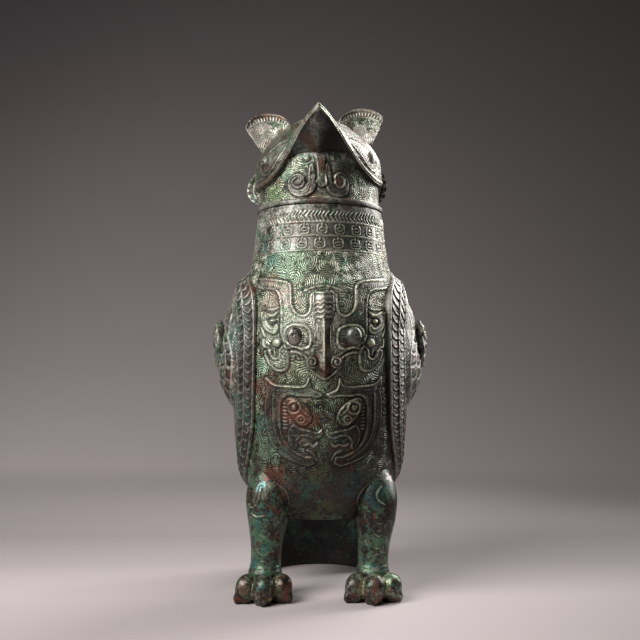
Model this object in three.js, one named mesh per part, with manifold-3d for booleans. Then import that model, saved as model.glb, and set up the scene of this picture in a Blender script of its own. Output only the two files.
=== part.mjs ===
// A cast bronze owl vessel on two clawed legs and a drooping tail. Its head lifts off as the lid.
// Millimetres, +Z up. The owl faces -Y. The origin is on the ground, under the axis of the neck.
import * as THREE from 'three';
import { mergeVertices } from 'three/addons/utils/BufferGeometryUtils.js';
import Module from 'manifold-3d';

const wasm = await Module();
wasm.setup();

// Fits
const seat = 0.3; // gap between a cast-on piece and what carries it
const flangeClearance = 0.8; // round the head's flange, inside the neck

// Vessel
const wall = 4;
const floorThickness = 5;
const neckRadius = 56.4;
const neckTop = 338;
const neckBaseRadius = 60.8;
const neckBase = 299;
const shoulderHalfWidth = 69;
const shoulderDepth = 72;
const shoulderHeight = 267;
const breastHalfWidth = 75;
const breastDepth = 82;
const breastHeight = 225;
const bellyHalfWidth = 73.5;
const bellyDepth = 84;
const bellyHeight = 158;
const haunchHalfWidth = 66;
const haunchDepth = 74;
const haunchHeight = 95;
const underHalfWidth = 52;
const underDepth = 59;
const underHeight = 69;
const underBulge = 3;

// Legs, feet and the clay left in the legs
const legSide = 46.3;
const legForwardDistance = 45;
const thighInset = 4.5;
const thighSetBack = 9;
const ankleHeight = 24;
const shankHalfWidth = 13;
const kneeHalfWidth = 18;
const thighHalfWidth = 20.5;
const legDepthRatio = 1.07;
const thighTop = 122;
const legWall = 4.5;
const coreBottom = 34;
const legLean = 0.06; // sideways, per millimetre below the vessel's underside
const toeReach = 20;
const toeAngle = 46; // degrees between neighbours
const toeHalfWidth = 9.4;
const toeHalfLength = 12.6;
const toeHalfHeight = 13.5;
const toeCentreHeight = 11.2;

// Tail
const tailHalfWidth = 63;
const tailDepth = 81;
const tailThickness = 9;
const tailTop = 150;
const tailAngleBottom = 52; // degrees to each side of the middle
const tailAngleTop = 38;

// Wings and the beast heads on them
const wingThickness = 5.5;
const wingEdgeShare = 0.5; // of the thickness, at the front edge
const wingEdgeSpread = 14; // degrees over which it reaches its full thickness
const wingTop = 284;
const wingBottom = 86;
const wingTipTaper = 9;
const wingShoulderRise = 4;
const wingShoulderHeight = wingTop - 26;
const wingShoulderReach = 26;
const shieldHeight = 196;
const shieldRise = 12;
const shieldHalfHeight = 34; // below its middle
const shieldUpperHalfHeight = 62;
const shieldHalfAngle = 25; // degrees
const beastHalfHeight = 23;
const beastHeight = shieldHeight + beastHalfHeight;
const beastHalfLength = 17;
const beastThickness = 8;
const beastStandOff = 9;

// Mask on the breast
const noseTop = 261;
const noseBottom = 190;
const noseHalfWidth = 11;
const noseBridge = 5.5;
const noseRidge = 7;
const nostrilSide = 10;
const nostrilHeight = 203;
const nostrilRadius = 5.6;
const breastEyeSide = 24.5;
const breastEyeHeight = 224;
const breastEyeHalfWidth = 7;
const breastEyeHalfHeight = 8.2;
const breastEyeRise = 5.5;

// Head
const seamGap = 0.4;
const flangeDepth = 16;
const flangeThickness = 3.6;
const headWall = 4;
const collarHeight = 5;
const collarRise = 0.8;
const throatRadius = 54;
const throatTop = neckTop + 40;
const domeTop = throatTop + 45;
const domePoint = 1.3; // 1 is a round dome, and more is a more pointed one
const hoodThickness = 3.5;
const hoodTop = domeTop + 5;
const hoodBack = throatTop - 14;
const beakReach = 90;
const beakHeight = domeTop - 10;
const beakRoot = throatTop + 6;
const headLean = 0.06; // sideways, per millimetre of height above the collar
const eyeAngle = 55;
const eyeHeight = throatTop + 2;
const eyeRadius = 6;

// Horns and ears
const hornSide = 40;
const hornBack = -2;
const hornRootHeight = domeTop - 27;
const hornHeight = 40;
const hornRootHalfWidth = 9;
const hornTopHalfWidth = 20.5;
const hornThickness = 5;
const hornOutwardShift = 3;
const hornBackwardShift = 9;
const hornCupDepth = 6;
const earAngle = 120;
const earHeight = throatTop - 8.5;
const earHalfHeight = 17;
const earReach = 17;
const earThickness = 4.5;
const earCupDepth = 5;

const material = (name, color, roughness, metalness) =>
  new THREE.MeshStandardMaterial({ name, color, roughness, metalness });
const greenBronze = material('green_bronze', 0x4c6453, 0.62, 0.55);
const paleBronze = material('pale_bronze', 0x77897a, 0.55, 0.5);
const brownBronze = material('brown_bronze', 0x54443a, 0.5, 0.6);
const clay = material('fired_clay', 0x9a6b4c, 0.95, 0);

const degrees = THREE.MathUtils.degToRad;
const mix = THREE.MathUtils.lerp;
const smooth = THREE.MathUtils.smoothstep;

// The value at z of a smooth curve through stations [z, value], given in rising order of z.
function along(stations, z) {
  const last = stations.length - 1;
  if (z <= stations[0][0]) return stations[0][1];
  if (z >= stations[last][0]) return stations[last][1];
  const i = stations.findIndex((s, k) => k < last && z < stations[k + 1][0]);
  const slope = (k) => {
    const a = Math.max(k - 1, 0);
    const b = Math.min(k + 1, last);
    return (stations[b][1] - stations[a][1]) / (stations[b][0] - stations[a][0]);
  };
  const [z0, v0] = stations[i];
  const [z1, v1] = stations[i + 1];
  const span = z1 - z0;
  const t = (z - z0) / span;
  const rise = t * t * (3 - 2 * t);
  return mix(v0, v1, rise) + span * t * (1 - t) * ((1 - t) * slope(i) - t * slope(i + 1));
}

// A closed solid from a stack of rings with equally many points. Each end is closed by a fan, or where
// the rings run along the front of a leaf and back along its rear, by a strip between the two.
function loft(rings, isLeaf = false) {
  const count = rings[0].length;
  const points = rings.flat();
  const centre = (ring) => ring.reduce((sum, p) => sum.add(p), new THREE.Vector3()).divideScalar(count);
  const faces = [];
  for (let r = 0; r + 1 < rings.length; r++) {
    for (let i = 0; i < count; i++) {
      const a = r * count + i;
      const b = r * count + ((i + 1) % count);
      faces.push(a, b, b + count, a, b + count, a + count);
    }
  }
  const top = (rings.length - 1) * count;
  if (isLeaf) {
    for (let i = 0; i + 1 < count / 2; i++) {
      const [a, b, c, d] = [i, i + 1, count - 2 - i, count - 1 - i];
      faces.push(a, d, c, a, c, b);
      faces.push(top + a, top + b, top + c, top + a, top + c, top + d);
    }
  } else {
    points.push(centre(rings[0]), centre(rings[rings.length - 1]));
    for (let i = 0; i < count; i++) {
      const next = (i + 1) % count;
      faces.push(points.length - 2, next, i, points.length - 1, top + i, top + next);
    }
  }
  const geometry = new THREE.BufferGeometry().setFromPoints(points);
  geometry.setIndex(faces);
  return facingOut(geometry);
}

function facingOut(geometry) {
  const place = geometry.getAttribute('position');
  const index = geometry.getIndex().array;
  const corner = (k) => new THREE.Vector3().fromBufferAttribute(place, index[k]);
  let volume = 0;
  for (let k = 0; k < index.length; k += 3) volume += corner(k).dot(corner(k + 1).cross(corner(k + 2)));
  if (volume < 0) {
    for (let k = 0; k < index.length; k += 3) [index[k + 1], index[k + 2]] = [index[k + 2], index[k + 1]];
  }
  return geometry;
}

function mirrored(geometry) {
  const copy = geometry.clone();
  copy.scale(-1, 1, 1);
  return facingOut(copy);
}

function toSolid(geometry) {
  const bare = geometry.clone();
  bare.deleteAttribute('normal');
  bare.deleteAttribute('uv');
  const merged = mergeVertices(bare, 1e-4);
  const vertProperties = Float32Array.from(merged.getAttribute('position').array);
  const triVerts = Uint32Array.from(merged.getIndex().array);
  return new wasm.Manifold(new wasm.Mesh({ numProp: 3, vertProperties, triVerts }));
}

function toGeometry(solid) {
  const mesh = solid.getMesh();
  const geometry = new THREE.BufferGeometry();
  geometry.setAttribute('position', new THREE.BufferAttribute(Float32Array.from(mesh.vertProperties), 3));
  geometry.setIndex(Array.from(mesh.triVerts));
  return geometry;
}

const joined = (...geometries) =>
  toGeometry(geometries.map(toSolid).reduce((whole, piece) => whole.add(piece)));
const cut = (geometry, ...cutters) =>
  toGeometry(cutters.map(toSolid).reduce((whole, piece) => whole.subtract(piece), toSolid(geometry)));

function ellipsoid(centre, radii, across = 12, down = 8) {
  const geometry = new THREE.SphereGeometry(1, across, down);
  geometry.rotateX(Math.PI / 2);
  geometry.scale(...radii);
  geometry.translate(...centre);
  return geometry;
}

// The outer surface of the vessel, or a surface outside it by the offset. Angle 0 faces forward.
const bodyHalfWidth = [
  [underHeight, underHalfWidth], [haunchHeight, haunchHalfWidth], [bellyHeight, bellyHalfWidth],
  [breastHeight, breastHalfWidth], [shoulderHeight, shoulderHalfWidth],
  [neckBase, neckBaseRadius], [neckTop, neckRadius],
];
const bodyDepth = [
  [underHeight, underDepth], [haunchHeight, haunchDepth], [bellyHeight, bellyDepth],
  [breastHeight, breastDepth], [shoulderHeight, shoulderDepth],
  [neckBase, neckBaseRadius], [neckTop, neckRadius],
];

function onBody(angle, z, offset = 0) {
  const x = (along(bodyHalfWidth, z) + offset) * Math.sin(angle);
  const y = -(along(bodyDepth, z) + offset) * Math.cos(angle);
  return new THREE.Vector3(x, y, z);
}

// A piece on the body starts this far inside its surface and is then cut back to leave the seat.
const sunk = 1.5;
const bodySides = 40;

function bodyRing(z, offset, share = 1) {
  const ring = [];
  for (let i = 0; i < bodySides; i++) {
    const point = onBody((2 * Math.PI * i) / bodySides, z, offset);
    ring.push(new THREE.Vector3(point.x * share, point.y * share, z));
  }
  return ring;
}

function levelsBetween(low, high, steps) {
  return Array.from({ length: steps + 1 }, (_, i) => mix(low, high, i / steps));
}

// The vessel's outside as a solid with no hollow, grown by the offset.
// It cuts the seats of what it carries.
function bodyBlank(offset) {
  const lowest = underHeight - underBulge - offset;
  const underside = bodyRing(underHeight, offset, 0.6).map((p) => p.setZ(lowest));
  return loft([underside, ...levelsBetween(underHeight, neckTop, 20).map((z) => bodyRing(z, offset))]);
}

function vesselBody() {
  const innerFloor = underHeight + floorThickness;
  const outside = levelsBetween(underHeight, neckTop, 20).map((z) => bodyRing(z, 0));
  const inside = levelsBetween(innerFloor, neckTop, 10).reverse().map((z) => bodyRing(z, -wall));
  const underside = bodyRing(underHeight, 0, 0.6).map((p) => p.setZ(underHeight - underBulge));
  return loft([underside, ...outside, ...inside]);
}

// One leg's outline at height z, made smaller by the inset.
const thighHeight = mix(ankleHeight, thighTop, 0.72);
const kneeHeight = mix(ankleHeight, thighTop, 0.46);
const legHalfWidth = [
  [ankleHeight, shankHalfWidth], [mix(ankleHeight, kneeHeight, 0.5), shankHalfWidth * 1.09],
  [kneeHeight, kneeHalfWidth], [thighHeight, thighHalfWidth], [thighTop, thighHalfWidth * 0.55],
];
const legSides = 20;

function legRing(z, inset) {
  const rise = smooth(z, kneeHeight, thighTop);
  const halfWidth = along(legHalfWidth, z) - inset;
  const ring = [];
  for (let i = 0; i < legSides; i++) {
    const turn = (2 * Math.PI * i) / legSides;
    const x = legSide - thighInset * rise + halfWidth * Math.cos(turn);
    const y = -legForwardDistance + thighSetBack * rise + halfWidth * legDepthRatio * Math.sin(turn);
    ring.push(new THREE.Vector3(x, y, z));
  }
  return ring;
}

const legBlank = (bottom, inset) => loft(levelsBetween(bottom, thighTop, 12).map((z) => legRing(z, inset)));
const legCore = () => cut(legBlank(coreBottom, legWall + seat), bodyBlank(seat));
const leg = () => cut(legBlank(ankleHeight, 0), bodyBlank(seat), legBlank(coreBottom - seat, legWall));

function foot() {
  const toes = [-toeAngle, 0, toeAngle].map((splay) => {
    const toe = ellipsoid([0, -toeReach, toeCentreHeight], [toeHalfWidth, toeHalfLength, toeHalfHeight]);
    toe.rotateZ(degrees(splay * 0.35));
    const swing = toeReach * Math.sin(degrees(splay));
    const forward = toeReach * (1 - Math.cos(degrees(splay)));
    toe.translate(swing - toeReach * Math.sin(degrees(splay * 0.35)), forward, 0);
    toe.translate(legSide, -legForwardDistance, 0);
    return toe;
  });
  const spur = ellipsoid(
    [legSide, -legForwardDistance + toeReach * 0.85, toeCentreHeight * 0.7],
    [toeHalfWidth * 0.8, toeHalfLength * 0.9, toeHalfHeight * 0.72],
  );
  const instep = ellipsoid(
    [legSide, -legForwardDistance, ankleHeight * 0.6],
    [shankHalfWidth * 1.12, shankHalfWidth * 1.2, ankleHeight * 0.62],
  );
  const wide = 4 * toeReach;
  const under = new THREE.BoxGeometry(wide, wide, wide);
  under.translate(legSide, -legForwardDistance, -wide / 2);
  const over = new THREE.BoxGeometry(wide, wide, wide);
  over.translate(legSide, -legForwardDistance, ankleHeight - seat + wide / 2);
  return cut(joined(...toes, spur, instep), under, over);
}

// A shell on the body: an arc from one angle to another at each height, with an outer and an inner face.
function shellOnBody(levels, anglesAt, outerAt, innerAt, columns) {
  const rings = levels.map((z) => {
    const [start, end] = anglesAt(z);
    const turns = levelsBetween(start, end, columns);
    return [...turns.map((a) => outerAt(a, z)), ...turns.reverse().map((a) => innerAt(a, z))];
  });
  return loft(rings, true);
}

// The tail hangs from the lower back and stands on the ground as a third foot.
function tail() {
  const skirt = (angle, z, offset) => {
    const halfWidth = Math.max(tailHalfWidth, along(bodyHalfWidth, z) - sunk) + offset;
    const depth = Math.max(tailDepth, along(bodyDepth, z) - sunk) + offset;
    return new THREE.Vector3(halfWidth * Math.sin(angle), -depth * Math.cos(angle), z);
  };
  const spread = (z) => degrees(mix(tailAngleBottom, tailAngleTop, z / tailTop));
  const thickness = (z) => tailThickness * mix(1, 0.55, smooth(z, tailTop * 0.6, tailTop));
  const curtain = shellOnBody(
    levelsBetween(0, tailTop, 10),
    (z) => [Math.PI - spread(z), Math.PI + spread(z)],
    (a, z) => skirt(a, z, thickness(z)),
    (a, z) => skirt(a, z, 0),
    14,
  );
  return cut(curtain, bodyBlank(seat));
}

// A wing: a thick leaf on the flank. Its front edge runs down from the shoulder and sweeps back
// at the haunch.
const wingAt = (share) => mix(wingBottom, wingTop, share);
const wingFront = [
  [wingAt(0), 98], [wingAt(0.1), 72], [wingAt(0.2), 59], [wingAt(0.36), 51], [wingAt(0.72), 48],
  [wingAt(0.9), 54], [wingAt(1), 76],
];
const wingRear = [
  [wingAt(0), 120], [wingAt(0.2), 138], [wingAt(0.45), 141], [wingAt(0.75), 132], [wingAt(0.9), 116],
  [wingAt(1), 88],
];

function wingRise(angle, z) {
  const up = (z - shieldHeight) / (z > shieldHeight ? shieldUpperHalfHeight : shieldHalfHeight);
  const turn = THREE.MathUtils.radToDeg(angle);
  const round = (turn - 90) / shieldHalfAngle;
  const edge = mix(wingEdgeShare, 1, smooth(turn - along(wingFront, z), 0, wingEdgeSpread));
  const tip = mix(0.3, 1, smooth(wingTop - z, 0, wingTipTaper));
  const bulge = wingShoulderRise * Math.max(0, 1 - ((z - wingShoulderHeight) / wingShoulderReach) ** 2);
  const shield = shieldRise * Math.max(0, 1 - up * up - round * round);
  return (wingThickness + bulge) * edge * tip + shield;
}

function wing(grow = 0) {
  const leaf = shellOnBody(
    levelsBetween(wingBottom, wingTop, 20),
    (z) => [degrees(along(wingFront, z)), degrees(along(wingRear, z))],
    (a, z) => onBody(a, z, wingRise(a, z) + grow),
    (a, z) => onBody(a, z, -sunk),
    12,
  );
  return cut(leaf, bodyBlank(seat));
}

// A beast head carried off the wing on a short neck, with curled horns and a blunt snout.
function beastHead() {
  const back = bellyHalfWidth + wingThickness + beastStandOff;
  const face = [back + beastThickness / 2, 0, beastHeight];
  const plate = ellipsoid(face, [beastThickness / 2 + 1.5, beastHalfLength, beastHalfHeight], 16, 10);
  const neck = ellipsoid(
    [back - beastStandOff / 2, 0, beastHeight - beastHalfHeight * 0.35],
    [beastStandOff, beastHalfLength * 0.45, beastHalfHeight * 0.5],
  );
  const snout = ellipsoid(
    [back + beastThickness * 0.5, 0, beastHeight - beastHalfHeight * 0.8],
    [beastThickness * 0.65, beastHalfLength * 0.42, beastHalfHeight * 0.32],
  );
  const horns = [-1, 1].map((side) => {
    const horn = new THREE.TorusGeometry(beastHalfLength * 0.36, 2.2, 6, 12);
    horn.rotateY(Math.PI / 2);
    horn.translate(
      back + beastThickness * 0.85,
      side * beastHalfLength * 0.5,
      beastHeight + beastHalfHeight * 0.5,
    );
    return horn;
  });
  return cut(joined(plate, neck, snout, ...horns), wing(seat), bodyBlank(wingThickness / 2));
}

// The nose of the breast mask: a broad brow plate, a ridged bridge and a pointed tip, with round nostrils.
function breastNose() {
  const at = (share) => mix(noseBottom, noseTop, share);
  const halfWidth = [
    [at(0), 1], [at(0.16), nostrilSide * 0.7], [at(0.34), noseBridge], [at(0.6), noseBridge],
    [at(0.76), noseHalfWidth], [at(1), noseHalfWidth],
  ];
  const ridge = [
    [at(0), noseRidge * 0.6], [at(0.2), noseRidge], [at(0.6), noseRidge * 0.8], [at(1), noseRidge * 0.45],
  ];
  const bridge = shellOnBody(
    levelsBetween(noseBottom, noseTop, 14),
    (z) => [-along(halfWidth, z) / breastDepth, along(halfWidth, z) / breastDepth],
    (a, z) => onBody(a, z, along(ridge, z) * (1.25 - Math.abs(a * breastDepth) / along(halfWidth, z))),
    (a, z) => onBody(a, z, -sunk),
    4,
  );
  const nostrils = [-1, 1].map((side) => {
    const place = onBody((side * nostrilSide) / breastDepth, nostrilHeight, 1.2);
    const radii = [nostrilRadius, nostrilRadius * 0.7, nostrilRadius];
    return ellipsoid([place.x, place.y, place.z], radii, 14, 8);
  });
  return cut(joined(bridge, ...nostrils), bodyBlank(seat));
}

function breastEye() {
  const place = onBody(Math.asin(breastEyeSide / breastHalfWidth), breastEyeHeight, 0);
  const boss = ellipsoid([0, 0, 0], [breastEyeHalfWidth, breastEyeRise, breastEyeHalfHeight], 18, 12);
  boss.rotateZ(breastEyeSide / breastDepth);
  boss.translate(place.x, place.y, place.z);
  return cut(boss, bodyBlank(seat));
}

// The head's throat and dome, under the hood. Grown by the offset it cuts the seats of what it carries.
const seamHeight = neckTop + seamGap;
const throatBase = seamHeight + collarHeight;

function domeProfile(offset, steps = 8) {
  return levelsBetween(0, 1, steps).map((share) => {
    const turn = (share * Math.PI) / 2;
    const radius = (throatRadius + offset) * Math.max(Math.cos(turn), 0) ** domePoint;
    const height = throatTop + (domeTop - throatTop + offset) * Math.sin(turn) ** domePoint;
    return new THREE.Vector2(Math.max(radius, 0), height);
  });
}

const headSides = 36;

function turned(profile) {
  const geometry = new THREE.LatheGeometry(profile, headSides);
  geometry.rotateX(Math.PI / 2);
  geometry.deleteAttribute('normal');
  geometry.deleteAttribute('uv');
  return facingOut(withoutSlivers(mergeVertices(geometry)));
}

// A lathe leaves flat triangles on its axis, where points fall together.
function withoutSlivers(geometry) {
  const old = geometry.getIndex().array;
  const kept = [];
  for (let k = 0; k < old.length; k += 3) {
    const [a, b, c] = [old[k], old[k + 1], old[k + 2]];
    if (a !== b && b !== c && c !== a) kept.push(a, b, c);
  }
  geometry.setIndex(kept);
  return geometry;
}

function headBlank(offset) {
  return turned([
    new THREE.Vector2(0, seamHeight),
    new THREE.Vector2(throatRadius + offset, seamHeight),
    ...domeProfile(offset),
  ]);
}

function headShell() {
  const flangeOuter = neckRadius - wall - flangeClearance;
  const flangeInner = flangeOuter - flangeThickness;
  const collarOuter = neckRadius + collarRise;
  const inside = domeProfile(-headWall).reverse();
  return turned([
    new THREE.Vector2(flangeInner, seamHeight - flangeDepth),
    new THREE.Vector2(flangeOuter, seamHeight - flangeDepth),
    new THREE.Vector2(flangeOuter, seamHeight),
    new THREE.Vector2(collarOuter, seamHeight),
    new THREE.Vector2(collarOuter, throatBase - collarRise),
    new THREE.Vector2(throatRadius, throatBase),
    ...domeProfile(0),
    ...inside,
    new THREE.Vector2(flangeInner, throatBase),
    new THREE.Vector2(flangeInner, seamHeight - flangeDepth),
  ]);
}

// The hood and beak: a cap over the dome whose front rim runs from the beak's tip down both cheeks.
// One side of the rim, from the tip to the cheek, as distance from the axis and height for each angle.
const rimRadius = throatRadius + hoodThickness;
const rimReach = [
  [0, beakReach], [12, mix(rimRadius, beakReach, 0.36)], [25, rimRadius + 2], [44, rimRadius + 0.5],
  [180, rimRadius],
];
const rimLift = [
  [0, beakHeight], [12, mix(hoodBack, beakHeight, 0.77)], [25, mix(hoodBack, beakHeight, 0.45)],
  [42, hoodBack + 4], [62, hoodBack - 3], [95, hoodBack], [180, hoodBack],
];
const rimAngles = [0, 4, 8, 12, 16, 20, 25, 31, 38, 46, 55, 66, 78, 92, 108, 124, 140, 152, 166, 180];

// The hood stands upright from its rim to the spring of the dome, then closes over it.
const hoodUpright = 0.15;

function hoodRing(share, grow) {
  const oneSide = rimAngles.map((angle) => {
    const bend = mix(domePoint, 1.55, 1 - smooth(angle, 0, 40));
    const low = along(rimLift, angle) - grow;
    const spring = Math.max(low, throatTop);
    const upright = Math.min(share / hoodUpright, 1);
    const turn = (Math.max(share - hoodUpright, 0) / (1 - hoodUpright)) * (Math.PI / 2);
    const reach = (along(rimReach, angle) + grow) * Math.cos(turn) ** bend;
    const z = mix(low, spring, upright) + (hoodTop + grow - spring) * Math.sin(turn) ** bend;
    return new THREE.Vector3(reach * Math.sin(degrees(angle)), -reach * Math.cos(degrees(angle)), z);
  });
  const otherSide = oneSide.slice(1, -1).reverse().map((p) => new THREE.Vector3(-p.x, p.y, p.z));
  return [...oneSide, ...otherSide];
}

function hoodUnderside(radius, drop) {
  const angleOf = (p) => Math.abs(THREE.MathUtils.radToDeg(Math.atan2(p.x, -p.y)));
  return hoodRing(0, 0).map((p) => {
    const z = Math.min(beakRoot, along(rimLift, angleOf(p)) - 0.5) - drop;
    const reach = Math.hypot(p.x, p.y);
    return new THREE.Vector3((p.x / reach) * radius, (p.y / reach) * radius, z);
  });
}

function hoodBlank(grow) {
  const closing = levelsBetween(hoodUpright, 0.94, 7).map((share) => hoodRing(share, grow));
  const below = [hoodUnderside(throatRadius * 0.5, 12), hoodUnderside(throatRadius - 2, 2)];
  return loft([...below, hoodRing(0, grow), ...closing]);
}

const beakHood = () => cut(hoodBlank(0), headBlank(seat));

function headEye() {
  const angle = degrees(eyeAngle);
  const reach = rimRadius - 1;
  const boss = ellipsoid([0, 0, 0], [eyeRadius, eyeRadius * 0.75, eyeRadius], 16, 10);
  boss.rotateZ(angle);
  boss.translate(reach * Math.sin(angle), -reach * Math.cos(angle), eyeHeight);
  return cut(boss, hoodBlank(seat), headBlank(seat));
}

// A horn: a cupped fan, narrow at its root in the hood and wide at its rounded top.
function horn() {
  const columns = 8;
  const rings = levelsBetween(0, 1, 8).map((share) => {
    const halfWidth = mix(hornRootHalfWidth, hornTopHalfWidth, Math.sin((share * Math.PI) / 2));
    const face = (back) => levelsBetween(-1, 1, columns).map((side) => {
      const crown = hornHeight * (1 - 0.2 * side * side * share);
      const x = hornSide + hornOutwardShift * share + halfWidth * side;
      const y = hornBack + hornBackwardShift * share - hornCupDepth * share * side * side + back;
      return new THREE.Vector3(x, y, hornRootHeight + crown * share);
    });
    const thickness = hornThickness * mix(1, 0.7, share);
    return [...face(0), ...face(thickness).reverse()];
  });
  return cut(loft(rings, true), hoodBlank(seat), headBlank(seat));
}

// An ear: a half disc standing out behind the cheek, cupped towards the front.
function ear() {
  const columns = 6;
  const root = rimRadius - hoodThickness;
  const rings = levelsBetween(-1, 1, 10).map((side) => {
    const reach = root + (earReach + hoodThickness) * Math.sqrt(Math.max(1 - side * side * 0.94, 0));
    const face = (back) => levelsBetween(0, 1, columns).map((share) => {
      const out = mix(root, reach, share);
      const cup = earCupDepth * share * share;
      return new THREE.Vector3(out, back - cup, earHeight + earHalfHeight * side);
    });
    return [...face(0), ...face(earThickness).reverse()];
  });
  const plate = loft(rings, true);
  plate.rotateZ(degrees(earAngle - 90));
  return cut(plate, hoodBlank(seat), headBlank(seat));
}

// The model was shaped by hand: above its collar the head tilts a little to one side.
function headTilted(geometry) {
  const place = geometry.getAttribute('position');
  for (let i = 0; i < place.count; i++) {
    const [x, z] = [place.getX(i), place.getZ(i)];
    place.setX(i, x - headLean * Math.max(z - throatBase, 0));
    place.setZ(i, z + headLean * x * smooth(z, throatBase, throatTop));
  }
  return geometry;
}

// Below the vessel the legs and feet stand a little to the same side.
function legLeaned(geometry) {
  const place = geometry.getAttribute('position');
  for (let i = 0; i < place.count; i++) {
    place.setX(i, place.getX(i) - legLean * Math.max(underHeight - underBulge - place.getZ(i), 0));
  }
  return geometry;
}

function mesh(name, geometry, finish) {
  const piece = new THREE.Mesh(geometry, finish);
  piece.name = name;
  return piece;
}

function pair(name, geometry, finish) {
  return [mesh(`${name}_right`, geometry, finish), mesh(`${name}_left`, mirrored(geometry), finish)];
}

const vessel = new THREE.Group();
vessel.add(
  mesh('vessel_body', vesselBody(), greenBronze),
  mesh('tail', tail(), greenBronze),
  mesh('breast_nose', breastNose(), paleBronze),
  ...pair('breast_eye', breastEye(), paleBronze),
  ...pair('wing', wing(), greenBronze),
  ...pair('beast_head', beastHead(), paleBronze),
);
const limbs = [
  ...pair('leg', leg(), greenBronze),
  ...pair('leg_core', legCore(), clay),
  ...pair('foot', foot(), brownBronze),
];
for (const limb of limbs) {
  legLeaned(limb.geometry);
  vessel.add(limb);
}

const head = new THREE.Group();
head.add(
  mesh('head_shell', headTilted(headShell()), greenBronze),
  mesh('beak_hood', headTilted(beakHood()), brownBronze),
);
const crest = [
  ...pair('eye', headEye(), paleBronze),
  ...pair('horn', horn(), paleBronze),
  ...pair('ear', ear(), paleBronze),
];
for (const piece of crest) {
  headTilted(piece.geometry);
  head.add(piece);
}

const owl = new THREE.Group();
owl.add(vessel, head);
export default owl;
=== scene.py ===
import math

import bpy
import numpy as np
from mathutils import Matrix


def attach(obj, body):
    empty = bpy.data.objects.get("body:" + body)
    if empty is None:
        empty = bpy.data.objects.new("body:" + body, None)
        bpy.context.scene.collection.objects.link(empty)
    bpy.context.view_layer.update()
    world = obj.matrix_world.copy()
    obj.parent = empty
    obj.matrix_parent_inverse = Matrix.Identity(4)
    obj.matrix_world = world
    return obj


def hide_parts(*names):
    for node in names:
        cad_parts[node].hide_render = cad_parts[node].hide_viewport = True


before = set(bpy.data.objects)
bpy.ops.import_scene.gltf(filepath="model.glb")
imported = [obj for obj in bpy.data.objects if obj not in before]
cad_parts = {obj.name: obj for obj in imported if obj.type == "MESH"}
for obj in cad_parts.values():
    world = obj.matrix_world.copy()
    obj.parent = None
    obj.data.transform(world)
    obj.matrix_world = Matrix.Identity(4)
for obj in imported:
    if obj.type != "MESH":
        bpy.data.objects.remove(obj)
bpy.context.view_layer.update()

# The view. The owl stands on a pale floor and is seen from the front at the height of its belly,
# a little to the right of its middle line, from about three quarters of a metre.

view_distance = 0.78
view_height = 0.1944
view_turn = math.radians(-2)
picture_width = 640
focal_pixels = 850
horizon_pixels = 52
sensor_width = 36
view_data = bpy.data.cameras.new("front_view")
view_data.lens = focal_pixels / picture_width * sensor_width
view_data.shift_y = horizon_pixels / picture_width
front_view = bpy.data.objects.new("front_view", view_data)
front_view.location = (view_distance * math.sin(view_turn), -view_distance * math.cos(view_turn), view_height)
front_view.rotation_euler = (math.radians(90), 0, view_turn)
bpy.context.collection.objects.link(front_view)
bpy.context.scene.camera = front_view


# The floor and the backdrop. One pale sheet of matt paper that lies under the vessel and rises behind
# it in a wide curve. Its colour carries painted shade for the fall-off of the light: darker towards the top
# and the right.

paper_front = -1.6
paper_length = 5.2
paper_width = 6
bend_start = 0.75
bend_radius = 0.6
paper_painted_falloff = [
    (0.0, 0.45), (0.09, 0.45), (0.14, 0.31), (0.19, 0.265), (0.29, 0.38), (0.42, 0.52), (0.5, 0.46),
    (0.62, 0.37), (0.8, 0.27), (0.9, 0.20), (1.0, 0.16),
]


class Signal:
    """What an output of a shader node gives at each point of a surface, with plain arithmetic."""

    def __init__(self, made, output=0):
        self.tree = made.id_data
        self.socket = made.outputs[output]

    def other(self, output):
        return Signal(self.socket.node, output)

    def to(self, socket):
        self.tree.links.new(self.socket, socket)

    def maths(self, operation, second=0.0, third=0.0):
        return signal(self.tree, "Math", {0: self, 1: second, 2: third}, operation=operation)

    def __add__(self, second):
        return self.maths("ADD", second)

    def __sub__(self, second):
        return self.maths("SUBTRACT", second)

    def __mul__(self, second):
        return self.maths("MULTIPLY", second)

    def __truediv__(self, second):
        return self.maths("DIVIDE", second)

    def __pow__(self, power):
        return self.maths("POWER", power)

    def __abs__(self):
        return self.maths("ABSOLUTE")

    def scaled(self, gain, shift=0.0):
        return self.maths("MULTIPLY_ADD", gain, shift)

    def centred(self, gain):
        return self.scaled(gain, -gain / 2)

    def fade(self, low, high, bottom=0.0, top=1.0, kind="SMOOTHSTEP"):
        inputs = {0: self, 1: low, 2: high, 3: bottom, 4: top}
        return signal(self.tree, "MapRange", inputs, interpolation_type=kind)


def signal(tree, kind, inputs=None, output=0, **settings):
    """What a new shader node gives, with its settings, and its inputs as values or as signals."""
    made = tree.nodes.new("ShaderNode" + kind)
    for name, value in settings.items():
        setattr(made, name, value)
    for name, value in (inputs or {}).items():
        if isinstance(value, Signal):
            value.to(made.inputs[name])
        else:
            made.inputs[name].default_value = value
    return Signal(made, output)


def ramp(value, stops):
    """The colour that belongs to a value, between stops of a position and a colour."""
    made = signal(value.tree, "ValToRGB", {0: value})
    elements = made.socket.node.color_ramp.elements
    for element, (position, colour) in zip(elements, (stops[0], stops[-1])):
        element.position = position
        element.color = (*colour, 1)
    for position, colour in stops[1:-1]:
        elements.new(position).color = (*colour, 1)
    return made


def new_material(name):
    """A material, its node tree, and the inputs of its surface shader."""
    material = bpy.data.materials.new(name)
    material.use_nodes = True
    shader = next(n for n in material.node_tree.nodes if n.type == "BSDF_PRINCIPLED")
    return material, material.node_tree, shader.inputs


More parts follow.
